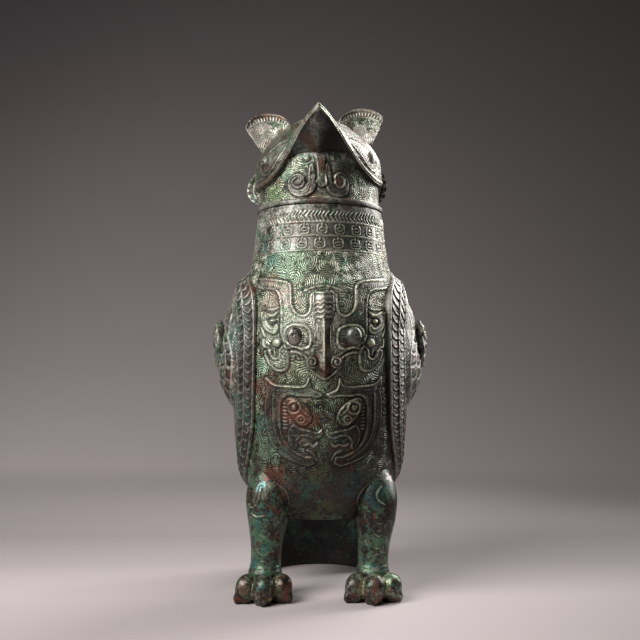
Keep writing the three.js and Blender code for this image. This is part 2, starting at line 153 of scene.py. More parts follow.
bpy.ops.object.select_all(action="DESELECT")
bpy.ops.mesh.primitive_grid_add(x_subdivisions=40, y_subdivisions=60, size=1)
paper = bpy.context.object
paper.name = paper.data.name = "paper_sweep"
bend_length = bend_radius * math.pi / 2
for corner in paper.data.vertices:
    run = (corner.co.y + 0.5) * paper_length + paper_front
    bend = min(max(run - bend_start, 0), bend_length) / bend_radius
    depth = min(run, bend_start) + bend_radius * math.sin(bend)
    height = bend_radius * (1 - math.cos(bend)) + max(run - bend_start - bend_length, 0)
    corner.co = (corner.co.x * paper_width, depth, height)
bpy.ops.object.shade_smooth()

paper_material, tree, surface = new_material("matt_paper")
spot = signal(tree, "TexCoord", output="Object")
across = signal(tree, "SeparateXYZ", {0: spot})
run = across.other("Y") + across.other("Z")
# Painted shade: the grey falls off along the run of the paper, and is darker again towards the right.
stops = [(position, (grey * 1.09, grey * 0.96, grey * 0.965)) for position, grey in paper_painted_falloff]
shade = ramp(run.fade(-0.3, 2.5, kind="LINEAR"), stops)
far_lean = run.fade(0.35, 0.9, 0.0, -0.65, "LINEAR") * across.scaled(-0.35, 1.0)
near_lean = run.fade(-0.15, 0.25, -1.0, 0.0, "LINEAR") * across.maths("GREATER_THAN")
painted_side_shade = across.scaled(near_lean + far_lean, 1.0).maths("MAXIMUM", 0.5)
painted_shade_colour = signal(tree, "Mix", {0: 1.0, 6: shade, 7: painted_side_shade}, 2, data_type="RGBA", blend_type="MULTIPLY")
painted_shade_colour.to(surface["Base Color"])
fibre = signal(tree, "TexNoise", {"Vector": spot, "Scale": 900, "Detail": 2})
signal(tree, "Bump", {"Height": fibre, "Strength": 0.05}).to(surface["Normal"])
surface["Roughness"].default_value = 0.95
paper.data.materials.append(paper_material)


# The lamps. Four soft boxes: a large one above the front left, a low one on the left, and two behind
# to the right, where the bronze catches its long pale edges. The room adds a little even light.


def soft_box(name, place, aim, size, power, colour, spread):
    lamp = bpy.data.lights.new(name, "AREA")
    lamp.spread = math.radians(spread)
    lamp.shape = "RECTANGLE"
    lamp.size, lamp.size_y = size
    lamp.energy = power
    lamp.color = colour
    box = bpy.data.objects.new(name, lamp)
    box.location = place
    x, y, z = (b - a for a, b in zip(place, aim))
    box.rotation_euler = (math.atan2(math.hypot(x, y), -z), 0, math.atan2(y, x) - math.pi / 2)
    bpy.context.collection.objects.link(box)


soft_box("box_above", (-0.80, -0.66, 1.05), (0, 0, 0.34), (0.8, 0.8), 9, (1, 0.985, 0.96), 110)
soft_box("box_left", (-1.1, -0.5, 0.75), (0, 0, 0.25), (0.4, 0.9), 1.6, (0.97, 0.99, 1), 110)
soft_box("box_right", (0.52, 0.56, 0.96), (0, 0, 0.36), (0.6, 0.6), 2.4, (1, 0.99, 0.98), 80)
soft_box("box_side", (0.72, 0.34, 0.62), (0, 0, 0.34), (0.3, 0.8), 1.3, (1, 0.99, 0.98), 65)
world = bpy.data.worlds.new("room")
world.use_nodes = True
bpy.context.scene.world = world
ambient = next(n for n in world.node_tree.nodes if n.type == "BACKGROUND")
ambient.inputs[0].default_value = (0.75, 0.77, 0.8, 1)
ambient.inputs[1].default_value = 0.12
bpy.context.scene.view_settings.view_transform = "Standard"


# The vessel's wall. One hollow casting with a slightly flattened round section. On the breast it carries
# a beast mask over two confronted dragons, all raised from a ground of fine thunder-pattern spirals.
# The patina is dark brown and olive, with pale green on the left and blue green low on the left.

body_half_width = [(69, 52), (95, 66), (158, 73.5), (225, 75), (267, 69), (299, 60.8), (338, 56.4)]
body_depth = [(69, 59), (95, 74), (158, 84), (225, 82), (267, 72), (299, 60.8), (338, 56.4)]
mask_middle = 0.75
underside = 66.0
wall_start = 69.0
wall_end = 296.6
neck_line = 297.4
body_radius = 74
breast_edge = 0.98
# Points that no carving may touch are put this far away from it.
far_off = 900


def along(stations, z):
    """The value at z of a smooth curve through stations (z, value), and past them the end values."""
    levels, values = np.array(stations, float).T
    z = np.clip(z, levels[0], levels[-1])
    last = len(levels) - 1
    i = np.clip(np.searchsorted(levels, z, side="right") - 1, 0, last - 1)
    before = np.maximum(np.arange(last + 1) - 1, 0)
    after = np.minimum(np.arange(last + 1) + 1, last)
    slope = (values[after] - values[before]) / (levels[after] - levels[before])
    span = levels[i + 1] - levels[i]
    t = (z - levels[i]) / span
    rise = t * t * (3 - 2 * t)
    bow = span * t * (1 - t) * ((1 - t) * slope[i] - t * slope[i + 1])
    return values[i] + (values[i + 1] - values[i]) * rise + bow


def on_body(angle, z, offset=0.0):
    """The point of the vessel's surface at this angle from the front and this height."""
    x = (along(body_half_width, z) + offset) * np.sin(angle)
    y = -(along(body_depth, z) + offset) * np.cos(angle)
    return x, y


def smooth_step(value, low, high):
    t = np.clip((value - low) / (high - low), 0, 1)
    return t * t * (3 - 2 * t)


def line_at(value, middle, width):
    """1 where the value is the middle, fading softly to both sides."""
    return np.exp(-(((value - middle) / width) ** 2))


def hump_at(value, middle, reach):
    """1 where the value is the middle, falling in a round curve to 0 at its reach."""
    return np.clip(1 - ((value - middle) / reach) ** 2, 0, 1)


def smooth_line(points, closed=False, parts=5):
    """A curve that passes through the points, as closely set points."""
    p = np.array(points, float)
    p = np.vstack([p[-1:], p, p[:2]]) if closed else np.vstack([p[:1], p, p[-1:]])
    t = np.linspace(0, 1, parts, endpoint=False)[:, None]
    runs = []
    for a, b, c, d in zip(p, p[1:], p[2:], p[3:]):
        bend = (2 * a - 5 * b + 4 * c - d) * t**2 + (3 * b - a - 3 * c + d) * t**3
        runs.append(0.5 * (2 * b + (c - a) * t + bend))
    return np.vstack(runs + [p[1:2] if closed else p[-2:-1]])


class Carving:
    """Relief on a surface whose points have the places x and z. It keeps the rise in millimetres, and how
    far each point is a crest, painted pale as worn metal and a painted highlight, a deep cut, painted
    near-black as dirt and painted shade, or smooth metal without the fine ground pattern."""

    def __init__(self, x, z, plain=0.0):
        self.x, self.z = x, z
        self.rise = np.zeros_like(x)
        self.crest = np.zeros_like(x)
        self.cut = np.zeros_like(x)
        self.plain = np.zeros_like(x) + plain

    def mark(self, rise=0.0, crest=0.0, cut=0.0, plain=0.0, at=slice(None)):
        """Adds to the rise, and makes each point at least so much a crest, a cut or plain."""
        self.rise[at] += rise
        self.crest[at] = np.maximum(self.crest[at], crest)
        self.cut[at] = np.maximum(self.cut[at], cut)
        self.plain[at] = np.maximum(self.plain[at], plain)

    def near(self, line, margin):
        low, high = line.min(0) - margin, line.max(0) + margin
        return np.flatnonzero((self.x > low[0]) & (self.x < high[0]) & (self.z > low[1]) & (self.z < high[1]))

    def distance(self, at, line):
        x, z = self.x[at], self.z[at]
        best = np.full(len(at), 1e9)
        for (ax, az), (bx, bz) in zip(line, line[1:]):
            run = max((bx - ax) ** 2 + (bz - az) ** 2, 1e-9)
            t = np.clip(((x - ax) * (bx - ax) + (z - az) * (bz - az)) / run, 0, 1)
            best = np.minimum(best, (x - ax - t * (bx - ax)) ** 2 + (z - az - t * (bz - az)) ** 2)
        return np.sqrt(best)

    def inside(self, at, line):
        x, z = self.x[at], self.z[at]
        within = np.zeros(len(at), bool)
        for (ax, az), (bx, bz) in zip(line, line[1:]):
            if az != bz:
                within ^= ((az > z) != (bz > z)) & (x < (bx - ax) * (z - az) / (bz - az) + ax)
        return within

    def ridge(self, points, width=1.5, rise=0.7, closed=False, cut=0.25):
        """A raised line with a shallow cut along each side."""
        line = smooth_line(points, closed)
        at = self.near(line, width + 2.5)
        away = self.distance(at, line)
        top = hump_at(away, 0, width / 2 + 0.35)
        beside = line_at(away, width / 2 + 1.1, 0.6)
        self.mark(rise * top - cut * beside, top**3.5, beside * 0.75, away < width / 2 + 1.4, at)

    def plate(self, points, rise=0.9, contour=2.6, rim=0.45, dark=0.0):
        """A raised flat figure with a raised rim, and a line cut inside it that follows its outline."""
        line = smooth_line(points, True)
        at = self.near(line, 3)
        deep = np.where(self.inside(at, line), 1, -1) * self.distance(at, line)
        body = smooth_step(deep, -0.5, 0.5)
        edge = line_at(deep, 0.45, 0.42)
        beside = line_at(deep, -1.1, 0.65)
        scored = line_at(deep, contour, 0.4) if contour else 0 * deep
        cut = np.max([beside, scored * 0.9, dark * body * (1 - edge)], 0)
        faint = smooth_step(deep, -1.6, -0.6) * (1 - 0.5 * smooth_step(deep, 1.2, 2.2))
        self.mark(rise * body + rim * edge - 0.3 * beside - 0.4 * scored, edge**1.7, cut, faint, at)

    def boss(self, x, z, radius, rise, ring=0.0):
        """A round stud, or with a ring, a stud inside a raised ring."""
        at = self.near(np.array([[x, z]]), radius + 3)
        away = np.hypot(self.x[at] - x, self.z[at] - z)
        stud = radius - ring * 2
        top = np.sqrt(hump_at(away, 0, stud))
        beside = line_at(away, stud + 0.6, 0.5)
        self.mark(rise * top - 0.3 * beside, top**2 * 0.7, beside, away < radius + 1, at)
        if ring:
            hoop = hump_at(away, radius, ring / 2 + 0.3)
            self.mark(0.6 * rise * hoop, hoop, at=at)


def shaped(name, columns, rows, place, capped=True):
    """A sheet with one column and row for each value given, bent to the shape that place makes of them.
    place returns the points in millimetres, their place on the pattern, and their carving. Its first and
    last rows close to a point, or between the face and the back of a flat piece."""
    bpy.ops.object.select_all(action="DESELECT")
    bpy.ops.mesh.primitive_grid_add(x_subdivisions=len(columns) - 1, y_subdivisions=len(rows) - 1, size=1)
    piece = bpy.context.object
    piece.name = piece.data.name = name
    mesh = piece.data
    flat = np.empty(len(mesh.vertices) * 3)
    mesh.vertices.foreach_get("co", flat)
    flat = flat.reshape(-1, 3)
    column = np.rint((flat[:, 0] + 0.5) * (len(columns) - 1)).astype(int)
    row = np.rint((flat[:, 1] + 0.5) * (len(rows) - 1)).astype(int)
    columns, rows = np.asarray(columns), np.asarray(rows)
    turns = columns[column]
    ends = [row == 0, row == len(rows) - 1] if capped else []
    if turns.ndim > 1:
        closing = ends[0] | ends[1]
        back = np.sum(columns[:, 1] == 0) - 1
        turns[closing, 0] = np.rint((turns[closing, 0] + 1) / 2 * back) / back * 2 - 1
        turns[closing, 1] = 0.5
        ends = []
    points, pattern, carving = place(turns, rows[row])
    points = np.column_stack(points)
    for end in ends:
        points[end] = points[end].mean(0)
    mesh.vertices.foreach_set("co", (points / 1000).ravel())
    corners = np.empty(len(mesh.loops), int)
    mesh.loops.foreach_get("vertex_index", corners)
    mesh.uv_layers[0].name = "pattern_mm"
    mesh.uv_layers[0].uv.foreach_set("vector", np.column_stack(pattern)[corners].ravel())
    keep_marks(mesh, carving.crest, carving.cut, carving.plain)
    bpy.ops.object.mode_set(mode="EDIT")
    bpy.ops.mesh.select_all(action="SELECT")
    bpy.ops.mesh.remove_doubles(threshold=0.000002)
    bpy.ops.mesh.normals_make_consistent(inside=False)
    bpy.ops.object.mode_set(mode="OBJECT")
    bpy.ops.object.shade_smooth()
    return piece


def keep_marks(mesh, crest, cut, plain):
    """Stores for the bronze how far each point is a crest (worn metal and painted highlight), a deep cut
    (dirt and painted shade) or plain.
    """
    relief = mesh.color_attributes.new(name="relief", type="FLOAT_COLOR", domain="POINT")
    marks = np.column_stack([crest, cut, plain, np.ones(len(crest))])
    relief.data.foreach_set("color", np.clip(marks, 0, 1).ravel())


def steps(*runs):
    """Values in a row: each run goes on from the last one's end to its own, in so many steps."""
    values = [runs[0]]
    for end, count in runs[1:]:
        values += list(np.linspace(values[-1], end, count + 1)[1:])
    return values


def blend(share, first, second, kind="MIX"):
    """Two colours mixed, each a signal or a plain colour."""
    first, second = (c if isinstance(c, Signal) else (*c, 1) for c in (first, second))
    return signal(share.tree, "Mix", {0: share, 6: first, 7: second}, 2, data_type="RGBA", blend_type=kind)


def mottle(spot, size, detail=5.0, rough=0.6, shift=0.0, output="Fac"):
    """Cloudy variation from 0 to 1, with patches of this size in millimetres."""
    moved = signal(spot.tree, "VectorMath", {0: spot, 1: (shift, shift * 0.7, -shift)}, operation="ADD")
    inputs = {"Vector": moved, "Scale": 1000 / size, "Detail": detail, "Roughness": rough}
    return signal(spot.tree, "TexNoise", inputs, output)


def thunder_spirals(tree, across, pitch):
    """Close-set spirals with rounded corners, cut in the surface: 1 on a line and -1 in a groove."""
    flat = signal(tree, "UVMap", uv_map="pattern_mm")
    waver = {"Vector": flat, "Scale": 0.06, "Detail": 1.0}
    waver = signal(tree, "TexNoise", waver, "Color", noise_dimensions="2D")
    waver = signal(tree, "VectorMath", {0: waver, 1: (6.0, 6.0, 0.0)}, operation="MULTIPLY")
    place = signal(tree, "VectorMath", {0: flat, 1: waver}, operation="ADD")
    cell = {"Vector": place, "Scale": 1 / across, "Randomness": 0.5}
    cell = signal(tree, "TexVoronoi", cell, "Position", voronoi_dimensions="2D")
    local = signal(tree, "VectorMath", {0: place, 1: cell}, operation="SUBTRACT")
    x = signal(tree, "SeparateXYZ", {0: local})
    z = x.other("Y")
    chance = signal(tree, "SeparateColor", {0: cell.other("Color")})
    hand = (chance - 0.5).maths("SIGN")
    reach = (abs(x) ** 3.0 + abs(z) ** 3.0) ** (1 / 3)
    turn = z.maths("ARCTAN2", x) / (2 * math.pi) * hand + chance.other(1)
    return ((reach / pitch + turn) * (2 * math.pi)).maths("SINE")


bronze_skin = [
    (0.04, (0.008, 0.007, 0.006)), (0.26, (0.026, 0.022, 0.016)), (0.44, (0.052, 0.060, 0.038)),
    (0.58, (0.108, 0.138, 0.096)), (0.74, (0.230, 0.250, 0.200)), (0.92, (0.440, 0.430, 0.380)),
]
rubbed_bronze = [
    (0.04, (0.010, 0.008, 0.007)), (0.30, (0.040, 0.031, 0.026)), (0.50, (0.110, 0.092, 0.080)),
    (0.66, (0.210, 0.184, 0.166)), (0.90, (0.460, 0.420, 0.390)),
]
malachite = (0.230, 0.335, 0.260)
azurite = (0.040, 0.120, 0.108)
cuprite = (0.120, 0.038, 0.022)
# The next three colours are painted light: a pale one for painted highlights, a dark one for painted shade,
# and a near-black for the deepest painted shade.
painted_highlight_skin = (0.380, 0.355, 0.320)
painted_shade_skin = (0.022, 0.018, 0.014)
painted_shade_black = (0.012, 0.012, 0.010)


def bronze(name, stains_and_painted_light, ground=0.0, gloss=0.36, pale=0.0, spirals=(15.0, 1.7), rust=0.5, green=0.5,
           worn=(0.46, 0.46, 0.33)):
    """Old cast bronze. Each patch in the list is (x, y, z, reach in mm, colour, strength): a corrosion
    colour, a painted highlight or painted shade that lies there. ground is how strong the fine spirals are.
    rust and green say how much of the skin is flecked red and green, pale how light it is, and worn is the
    colour of the crests, worn metal with a painted highlight."""
    material, tree, surface = new_material(name)
    spot = signal(tree, "TexCoord", output="Object")
    across = signal(tree, "SeparateXYZ", {0: spot})
    height = across.other("Z")
    relief = signal(tree, "Attribute", output="Color", attribute_name="relief", attribute_type="GEOMETRY")
    crest = signal(tree, "SeparateColor", {0: relief})
    cut = crest.other(1)
    plain = crest.other(2)
    wide = mottle(spot, 42, 2.0)
    blotch = mottle(spot, 10, 8.0, 0.72, 3.1)
    fleck = mottle(spot, 2.4, 5.0, 0.7, 7.7)
    grit = mottle(spot, 0.8, 2.0, 0.6, 11.0)
    tone = wide.centred(0.9) + blotch.centred(1.9) + fleck.centred(1.7)
    # Darker towards the bottom: partly the darker patina low down, partly painted shade for the light that
    # falls off lower down.
    tone = tone + height.fade(0.06, 0.28, 0.24 + pale, 0.65 + pale)
    colour = blend(plain * 0.6, ramp(tone, bronze_skin), ramp(tone, rubbed_bronze))
    specks = signal(tree, "SeparateColor", {0: mottle(spot, 7, 8.0, 0.7, 19.0, "Color")})
    drift = wide.centred(0.5)
    for amount, share, speck in [
        (specks - drift, rust, (0.120, 0.040, 0.022)),
        (specks.other(1) + drift, green, (0.070, 0.150, 0.080)),
        (specks.other(2) + drift, green * 0.6, (0.030, 0.110, 0.095)),
    ]:
        here = amount.fade(0.66 - 0.16 * share, 0.71 - 0.16 * share)
        colour = blend(here * 0.85, colour, speck)
    ragged = blotch.centred(3.0) + fleck.centred(1.2)
    broken = fleck.fade(0.36, 0.58, 0.4, 0.86)
    for x, y, z, reach, patch_colour, strength in stains_and_painted_light:
        middle = (x / 1000, y / 1000, z / 1000)
        away = signal(tree, "VectorMath", {0: spot, 1: middle}, "Value", operation="DISTANCE")
        near = away.scaled(-1250 / reach, 1.05 - (1 - strength) * 0.9)
        colour = blend((near + ragged).fade(0.30, 0.50) * broken, colour, patch_colour)
    raised = fleck * 0.34 + grit * 0.08
    if ground:
        wave = thunder_spirals(tree, *spirals)
        bare = plain.scaled(-1.0, 1.0)
        groove = wave.fade(0.1, -0.8) * bare
        colour = blend(groove * ground, colour, (0.30, 0.29, 0.26), "MULTIPLY")
        line = wave.fade(0.3, 0.9) * bare * fleck.fade(0.36, 0.56, 0.15, 0.75 * ground)
        colour = blend(line, colour, (2.5, 2.45, 2.0), "MULTIPLY")
        raised = raised + wave * bare * (0.17 * ground)
    # The crests are painted pale: worn metal and a painted highlight. It is fainter on the left and low down,
    # where the fading low down is painted shade.
    worn_and_lit_edge = crest * fleck.fade(0.36, 0.56, 0.08, 1.0)
    worn_and_lit_edge = worn_and_lit_edge * across.fade(-0.03, 0.015, 0.4, 1.0) * height.fade(0.10, 0.24, 0.5, 1.0)
    colour = blend(worn_and_lit_edge, colour, worn)
    # The cuts are painted near-black: dirt in the grooves, and painted shade beside the raised figures.
    colour = blend(cut * 0.97, colour, (0.008, 0.007, 0.006))
    colour.to(surface["Base Color"])
    rough = blotch.centred(0.5) + gloss + cut * 0.2
    rough.maths("MAXIMUM", 0.0).maths("MINIMUM", 1.0).to(surface["Roughness"])
    surface["Metallic"].default_value = 0.45
    bump = signal(tree, "Bump", {"Height": raised, "Distance": 0.0011, "Strength": 0.9})
    bump.to(surface["Normal"])
    return material


front_columns = steps(-math.pi, (-0.95, 72), (0.95, 176), (math.pi, 72))
# Each row has its height, how far it lies off the surface, and its share of the way out from the middle.
wall_rows = [(underside, 0.0, share) for share in np.linspace(0.0, 0.6, 5)]
wall_rows += [(underside + 3 * t, 0.0, 0.6 + 0.4 * t) for t in (0.3, 0.55, 0.75, 0.9)]
wall_rows += [(z, 0.0, 1.0) for z in steps(wall_start, (112, 28), (277, 220), (wall_end, 14))]
wall_rows += [(z, -2.0, 1.0) for z in steps(wall_end, (75, 10))] + [(73.0, -2.0, 0.5), (73.0, -2.0, 0.0)]


def breast_carving(x, z, front):
    carving = Carving(np.where(front, np.abs(x - mask_middle), far_off), z)
    horn_and_face = [
        (56, 275), (41, 273.2), (31, 270.8), (27, 266.5), (26.3, 252), (23.5, 245), (17.8, 241.2),
        (12.8, 244), (11.6, 250), (11.2, 258), (8.5, 260), (5, 258), (5, 207), (11, 207), (17.6, 211.5),
        (24, 214), (30.5, 213.5), (34, 219), (36, 228), (36, 244), (37.5, 258), (42, 263.6), (52.5, 265.8),
        (57, 269),
    ]
    carving.plate(horn_and_face, rise=1.0, contour=2.4)
    socket = [
        (33, 224), (31.5, 229.5), (26.6, 233), (18.3, 232.6), (12.8, 229.8), (11, 224.5), (11.2, 217.5),
        (14, 213.8), (20, 213.6), (27, 216), (32, 219.5),
    ]
    carving.ridge(socket, 1.5, 0.6, closed=True)
    jaw = [
        (29.5, 211), (29.2, 200.5), (31.6, 195.6), (38.3, 194.8), (44.5, 199), (48.5, 206), (49.5, 212.5),
        (45, 213), (43.5, 208.5), (40.6, 205.5), (37.6, 207), (37, 212.5), (33.4, 216.5),
    ]
    carving.plate(jaw, rise=0.9, contour=2.3)
    ear = [
        (51.5, 246), (43.5, 242.6), (38, 245.4), (41.2, 240.6), (46, 240), (47.6, 236.6), (45.6, 232.8),
        (42, 231), (39.6, 234.5), (37.6, 231), (40.4, 226.4), (46.8, 228), (51.8, 235),
    ]
    carving.plate(ear, rise=0.9, contour=0)
    carving.boss(39.1, 218.6, 4.0, 2.0)
    carving.boss(43.6, 237.2, 2.4, 1.3)
    dragon = [
        (48.8, 190), (42, 184.4), (32.4, 183), (20, 182.4), (15.2, 184), (12.6, 189.4), (10.8, 181),
        (5.5, 177.6), (1.6, 175.5), (6.5, 173.4), (12, 174.6), (19, 174.3), (30, 175), (35, 170.6), (36, 163),
        (35.8, 150), (33, 138.4), (26, 130), (17, 125.2), (12.8, 124.4), (9, 123.6), (8.6, 119),
        (13.4, 116.8), (22.4, 119), (34, 124.6), (43.6, 135), (48, 149.7), (48.8, 166.6), (47.6, 178),
    ]
    carving.plate(dragon, rise=1.0, contour=3.1, dark=0.45)
    head = [
        (30.6, 171.6), (26, 172.6), (20, 170), (14.3, 164.6), (10.8, 158.6), (11.4, 154), (15, 150.8),
        (20.4, 151), (24, 155), (27, 158), (29.6, 163),
    ]
    carving.plate(head, rise=1.1, contour=0)
    carving.boss(24.4, 165, 5.0, 1.7, ring=1.2)
    carving.boss(18.9, 155.4, 2.9, 1.2, ring=0.9)
    lower_jaw = [
        (25.6, 150.6), (20, 147.6), (11.8, 146), (5.2, 144.6), (2, 147), (2.6, 141.6), (8.4, 139.4),
        (13.6, 141.6), (19.4, 141), (22.4, 136.6), (22, 132), (25.4, 130.8), (29, 137.4), (29.6, 145),
    ]
    carving.plate(lower_jaw, rise=0.8, contour=2.2, dark=0.4)
    for width, rise, line in [
        (1.4, 0.7, [(12.5, 203.5), (17.6, 208.2), (24, 210.6), (28.5, 210.2)]),
        (1.2, 0.7, [(0, 188.6), (4, 190.4), (9, 194.4), (13.4, 199)]),
        (1.1, 0.5, [(51, 105), (42, 101.5), (35, 97), (30.4, 91), (29, 84), (31, 78)]),
        (1.4, 0.6, [(51, 222), (50.5, 216), (47, 214.5)]),
        (1.2, 0.5, [(0, 266.3), (6, 265.6), (12, 263.6), (15.5, 262.2)]),
        (1.1, 0.4, [(37.6, 248.4), (43, 247), (51.5, 247.6)]),
        (1.1, 0.4, [(51.6, 246), (53.2, 238), (52, 229), (49.6, 224)]),
        (1.2, 0.4, [(41.6, 176), (41.8, 163), (41.0, 148), (36.4, 135.6), (28.4, 127.6), (19.5, 121.8)]),
        (1.3, 0.5, [(13, 158.8), (17.4, 162.4), (20.6, 168.2)]),
        (1.3, 0.6, [(21, 136), (17, 133.6), (12.5, 134.6), (8.5, 133), (5.5, 136.5)]),
        (1.4, 0.6, [(6.4, 122), (9.6, 127.6), (13.8, 129.6)]),
    ]:
        carving.ridge(line, width, rise)
    for height in np.arange(168, 146, -2.9):
        carving.ridge([(31.2, height - 0.4), (33.8, height)], 0.9, 0.5)
    for side, top in [(49.8, 178), (51.6, 169), (51.8, 160), (50.8, 151), (49, 143)]:
        hook = [(side, top + 3), (side + 1.6, top + 0.6), (side + 0.2, top - 1.8), (side - 0.8, top - 0.2)]
        carving.ridge(hook, 0.7, 0.3)
    return carving


def wall_place(angle, row):
    z, offset, share = row.T
    x, y = on_body(angle, z)
    outer = (offset == 0) & (share == 1)
    carving = breast_carving(x, z, outer & (np.abs(angle) < breast_edge))
    edge = line_at(z, neck_line, 0.7) * outer
    carving.mark(0.5 * edge, edge, plain=np.maximum(edge, smooth_step(z, 114, 100) * outer * 0.7))
    carving.plain[~outer] = 1
    # The pale crests are faded low down, and most on the right, as painted shade.
    carving.crest *= 1 - 0.65 * smooth_step(x, 33, 40) * smooth_step(z, 192, 178)
    carving.crest *= 1 - 0.45 * smooth_step(z, 176, 168) * smooth_step(np.abs(x), 41, 37)
    x, y = on_body(angle, z, offset + carving.rise * outer)
    return (x * share, y * share, z), (angle * body_radius, z), carving


vessel_wall = shaped("vessel_wall", front_columns, wall_rows, wall_place)
# Corrosion patches, and painted light: the dark patches on the right and low on the belly are painted shade,
# and the pale patch on the right edge and the one left of the mask's middle are painted highlights.
wall_stains_and_painted_light = [
    (-40, -66, 258, 40, (0.290, 0.245, 0.220), 0.75), (-12, -80, 236, 34, painted_highlight_skin, 0.6),
    (-32, -56, 286, 36, malachite, 0.95), (-44, -46, 290, 18, (0.048, 0.120, 0.110), 0.75),
    (-6, -70, 286, 16, azurite, 0.4), (-52, -60, 200, 26, malachite, 0.7), (-50, -58, 150, 30, azurite, 0.6),
    (-48, -60, 176, 20, malachite, 0.6), (34, -72, 232, 36, (0.017, 0.016, 0.012), 0.95),
    (46, -60, 200, 40, painted_shade_skin, 0.85), (58, -48, 258, 18, painted_highlight_skin, 0.6),
    (36, -56, 288, 30, (0.050, 0.052, 0.038), 0.8), (44, -62, 168, 26, painted_shade_skin, 0.7),
    (-26, -78, 164, 22, (0.150, 0.042, 0.024), 1.0), (-18, -80, 156, 18, (0.150, 0.042, 0.024), 1.0),
    (-46, -62, 180, 18, cuprite, 1.0), (-44, -66, 107, 22, (0.130, 0.050, 0.034), 1.0),
    (-45, -56, 273, 16, (0.150, 0.080, 0.060), 0.9), (4, -84, 92, 60, painted_shade_skin, 1.0),
    (50, -60, 150, 50, painted_shade_skin, 0.8), (10, -80, 104, 18, (0.03, 0.06, 0.045), 0.6),
    (-42, -66, 226, 44, (0.300, 0.340, 0.270), 0.85), (2, -72, 283, 30, (0.130, 0.135, 0.100), 0.8),
    (48, -62, 164, 54, painted_shade_black, 1.0), (48, -62, 160, 54, painted_shade_black, 1.0),
    (-18, -82, 190, 34, (0.150, 0.165, 0.115), 0.9), (20, -82, 190, 34, (0.120, 0.130, 0.090), 0.9),
    (44, -54, 284, 34, (0.110, 0.100, 0.088), 0.85), (44, -64, 214, 34, (0.014, 0.013, 0.011), 0.9),
    (-40, -66, 262, 34, (0.230, 0.185, 0.160), 0.7), (-44, -62, 130, 34, (0.110, 0.165, 0.120), 0.8),
    (-14, -82, 92, 30, (0.020, 0.054, 0.044), 0.8), (28, -78, 98, 30, (0.016, 0.044, 0.044), 0.85),
    (0, -70, 71, 30, (0.060, 0.066, 0.026), 0.8), (-6, -86, 114, 30, (0.045, 0.064, 0.028), 0.75),
    (12, -82, 86, 22, (0.060, 0.022, 0.015), 0.8),
]
wall_bronze = bronze("wall_bronze", wall_stains_and_painted_light, 1.0, pale=0.04, rust=0.45, worn=(0.80, 0.82, 0.52))
vessel_wall.data.materials.append(wall_bronze)
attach(vessel_wall, "vessel")
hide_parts("vessel_body")


# The neck, with the lining of the vessel under it. The upper part of the same casting: two rows of
# slanted strokes under a plain lip, then two rows of small horseshoe eyes between raised lines.

neck_radius = 57.5
stroke_pitch = 3.61
strokes_part = 327.3
eyes_round_neck = 24
eye_pitch = 15.05
neck_rows = [(73.2, -2.2, 0.0), (73.2, -2.2, 0.5), (73.2, -2.2, 1.0)]
neck_rows += [(z, -2.2, 1.0) for z in steps(75.0, (296.4, 8))]
neck_rows += [(z, 0.0, 1.0) for z in steps(296.5, (337.5, 70))]
neck_rows += [(337.85, -0.25, 1.0), (338.0, -0.8, 1.0), (338.0, -3.4, 1.0), (337.8, -3.85, 1.0)]
neck_rows += [(z, -4.0, 1.0) for z in steps(337.4, (78, 40))]
neck_rows += [(75.2, -4.8, 1.0), (74.2, -7.0, 1.0)] + [(74.0, -12.0, share) for share in (0.9, 0.4, 0.0)]


def neck_carving(angle, z):
    carving = Carving(angle, z, plain=1)
    for level in (322.3, 310.4, 297.7):
        line = line_at(z, level, 0.6)
        carving.mark(0.55 * line, line)
    band = smooth_step(z, 322.9, 323.6) * (1 - smooth_step(z, 331.4, 332.0))
    slant = np.abs(z - strokes_part) * 0.75
    uneven = 0.5 * np.sin(angle * 3) + 0.35 * np.sin(angle * 17 + 1)
    stroke = np.cos(2 * math.pi * ((angle * neck_radius - slant) / stroke_pitch + uneven * 0.5))
    parted = band * (1 - line_at(z, strokes_part, 0.5))
    deep = 0.35 + 0.65 * smooth_step(np.sin(angle), -0.15, 0.15) * smooth_step(np.sin(angle), 0.95, 0.7)
    low = band * np.clip(-0.1 - stroke, 0, 1) * deep
    carving.mark(parted * 0.45 * stroke, parted * np.clip(stroke * 2 - 1, 0, 0.8), low)
    for level, shift in ((316.0, 0.0), (303.6, 0.12)):
        across = ((angle / (2 * math.pi) * eyes_round_neck + 0.5 + shift) % 1 - 0.5) * eye_pitch
        up = z - level
        square = (np.abs(across) ** 3.6 + np.abs(up) ** 3.6) ** (1 / 3.6)
        mouth = smooth_step(up, 2.2, 3.0) * (1 - smooth_step(np.abs(across), 1.5, 2.2))
        hoop = line_at(square, 4.0, 0.55) * (1 - mouth)
        tick = line_at(across, 0, 0.5) * (up > 2.4) * (up < 5.6)
        slot = line_at(up, -0.3, 0.5) * (np.abs(across) < 1.9)
        bead = smooth_step(np.hypot(across / 2.4, (up + 0.3) / 1.6), 1.35, 1.1) * (1 - slot)
        lift = np.max([hoop, bead, tick], 0)
        hollow = np.clip((5.6 - square) * 1.2, 0, 1) * (1 - lift)
        beside = np.maximum(line_at(square, 3.0, 0.4), line_at(square, 5.1, 0.45)) * (1 - lift)
        worn = np.max([hoop, tick, bead * 0.55], 0)
        carving.mark(0.55 * lift - 0.15 * hollow - 0.3 * slot, worn, np.maximum(beside * 0.7, slot))
    carving.mark(cut=0.3 * smooth_step(z, 331.5, 333))
    return carving


def neck_place(angle, row):
    z, offset, share = row.T
    carving = neck_carving(angle, z)
    for part in (carving.rise, carving.crest, carving.cut):
        part *= (offset == 0) & (share == 1)
    x, y = on_body(angle, z, offset + carving.rise)
    return (x * share, y * share, z), (angle * neck_radius, z), carving


neck = shaped("neck_and_lining", steps(-math.pi, (math.pi, 600)), neck_rows, neck_place)
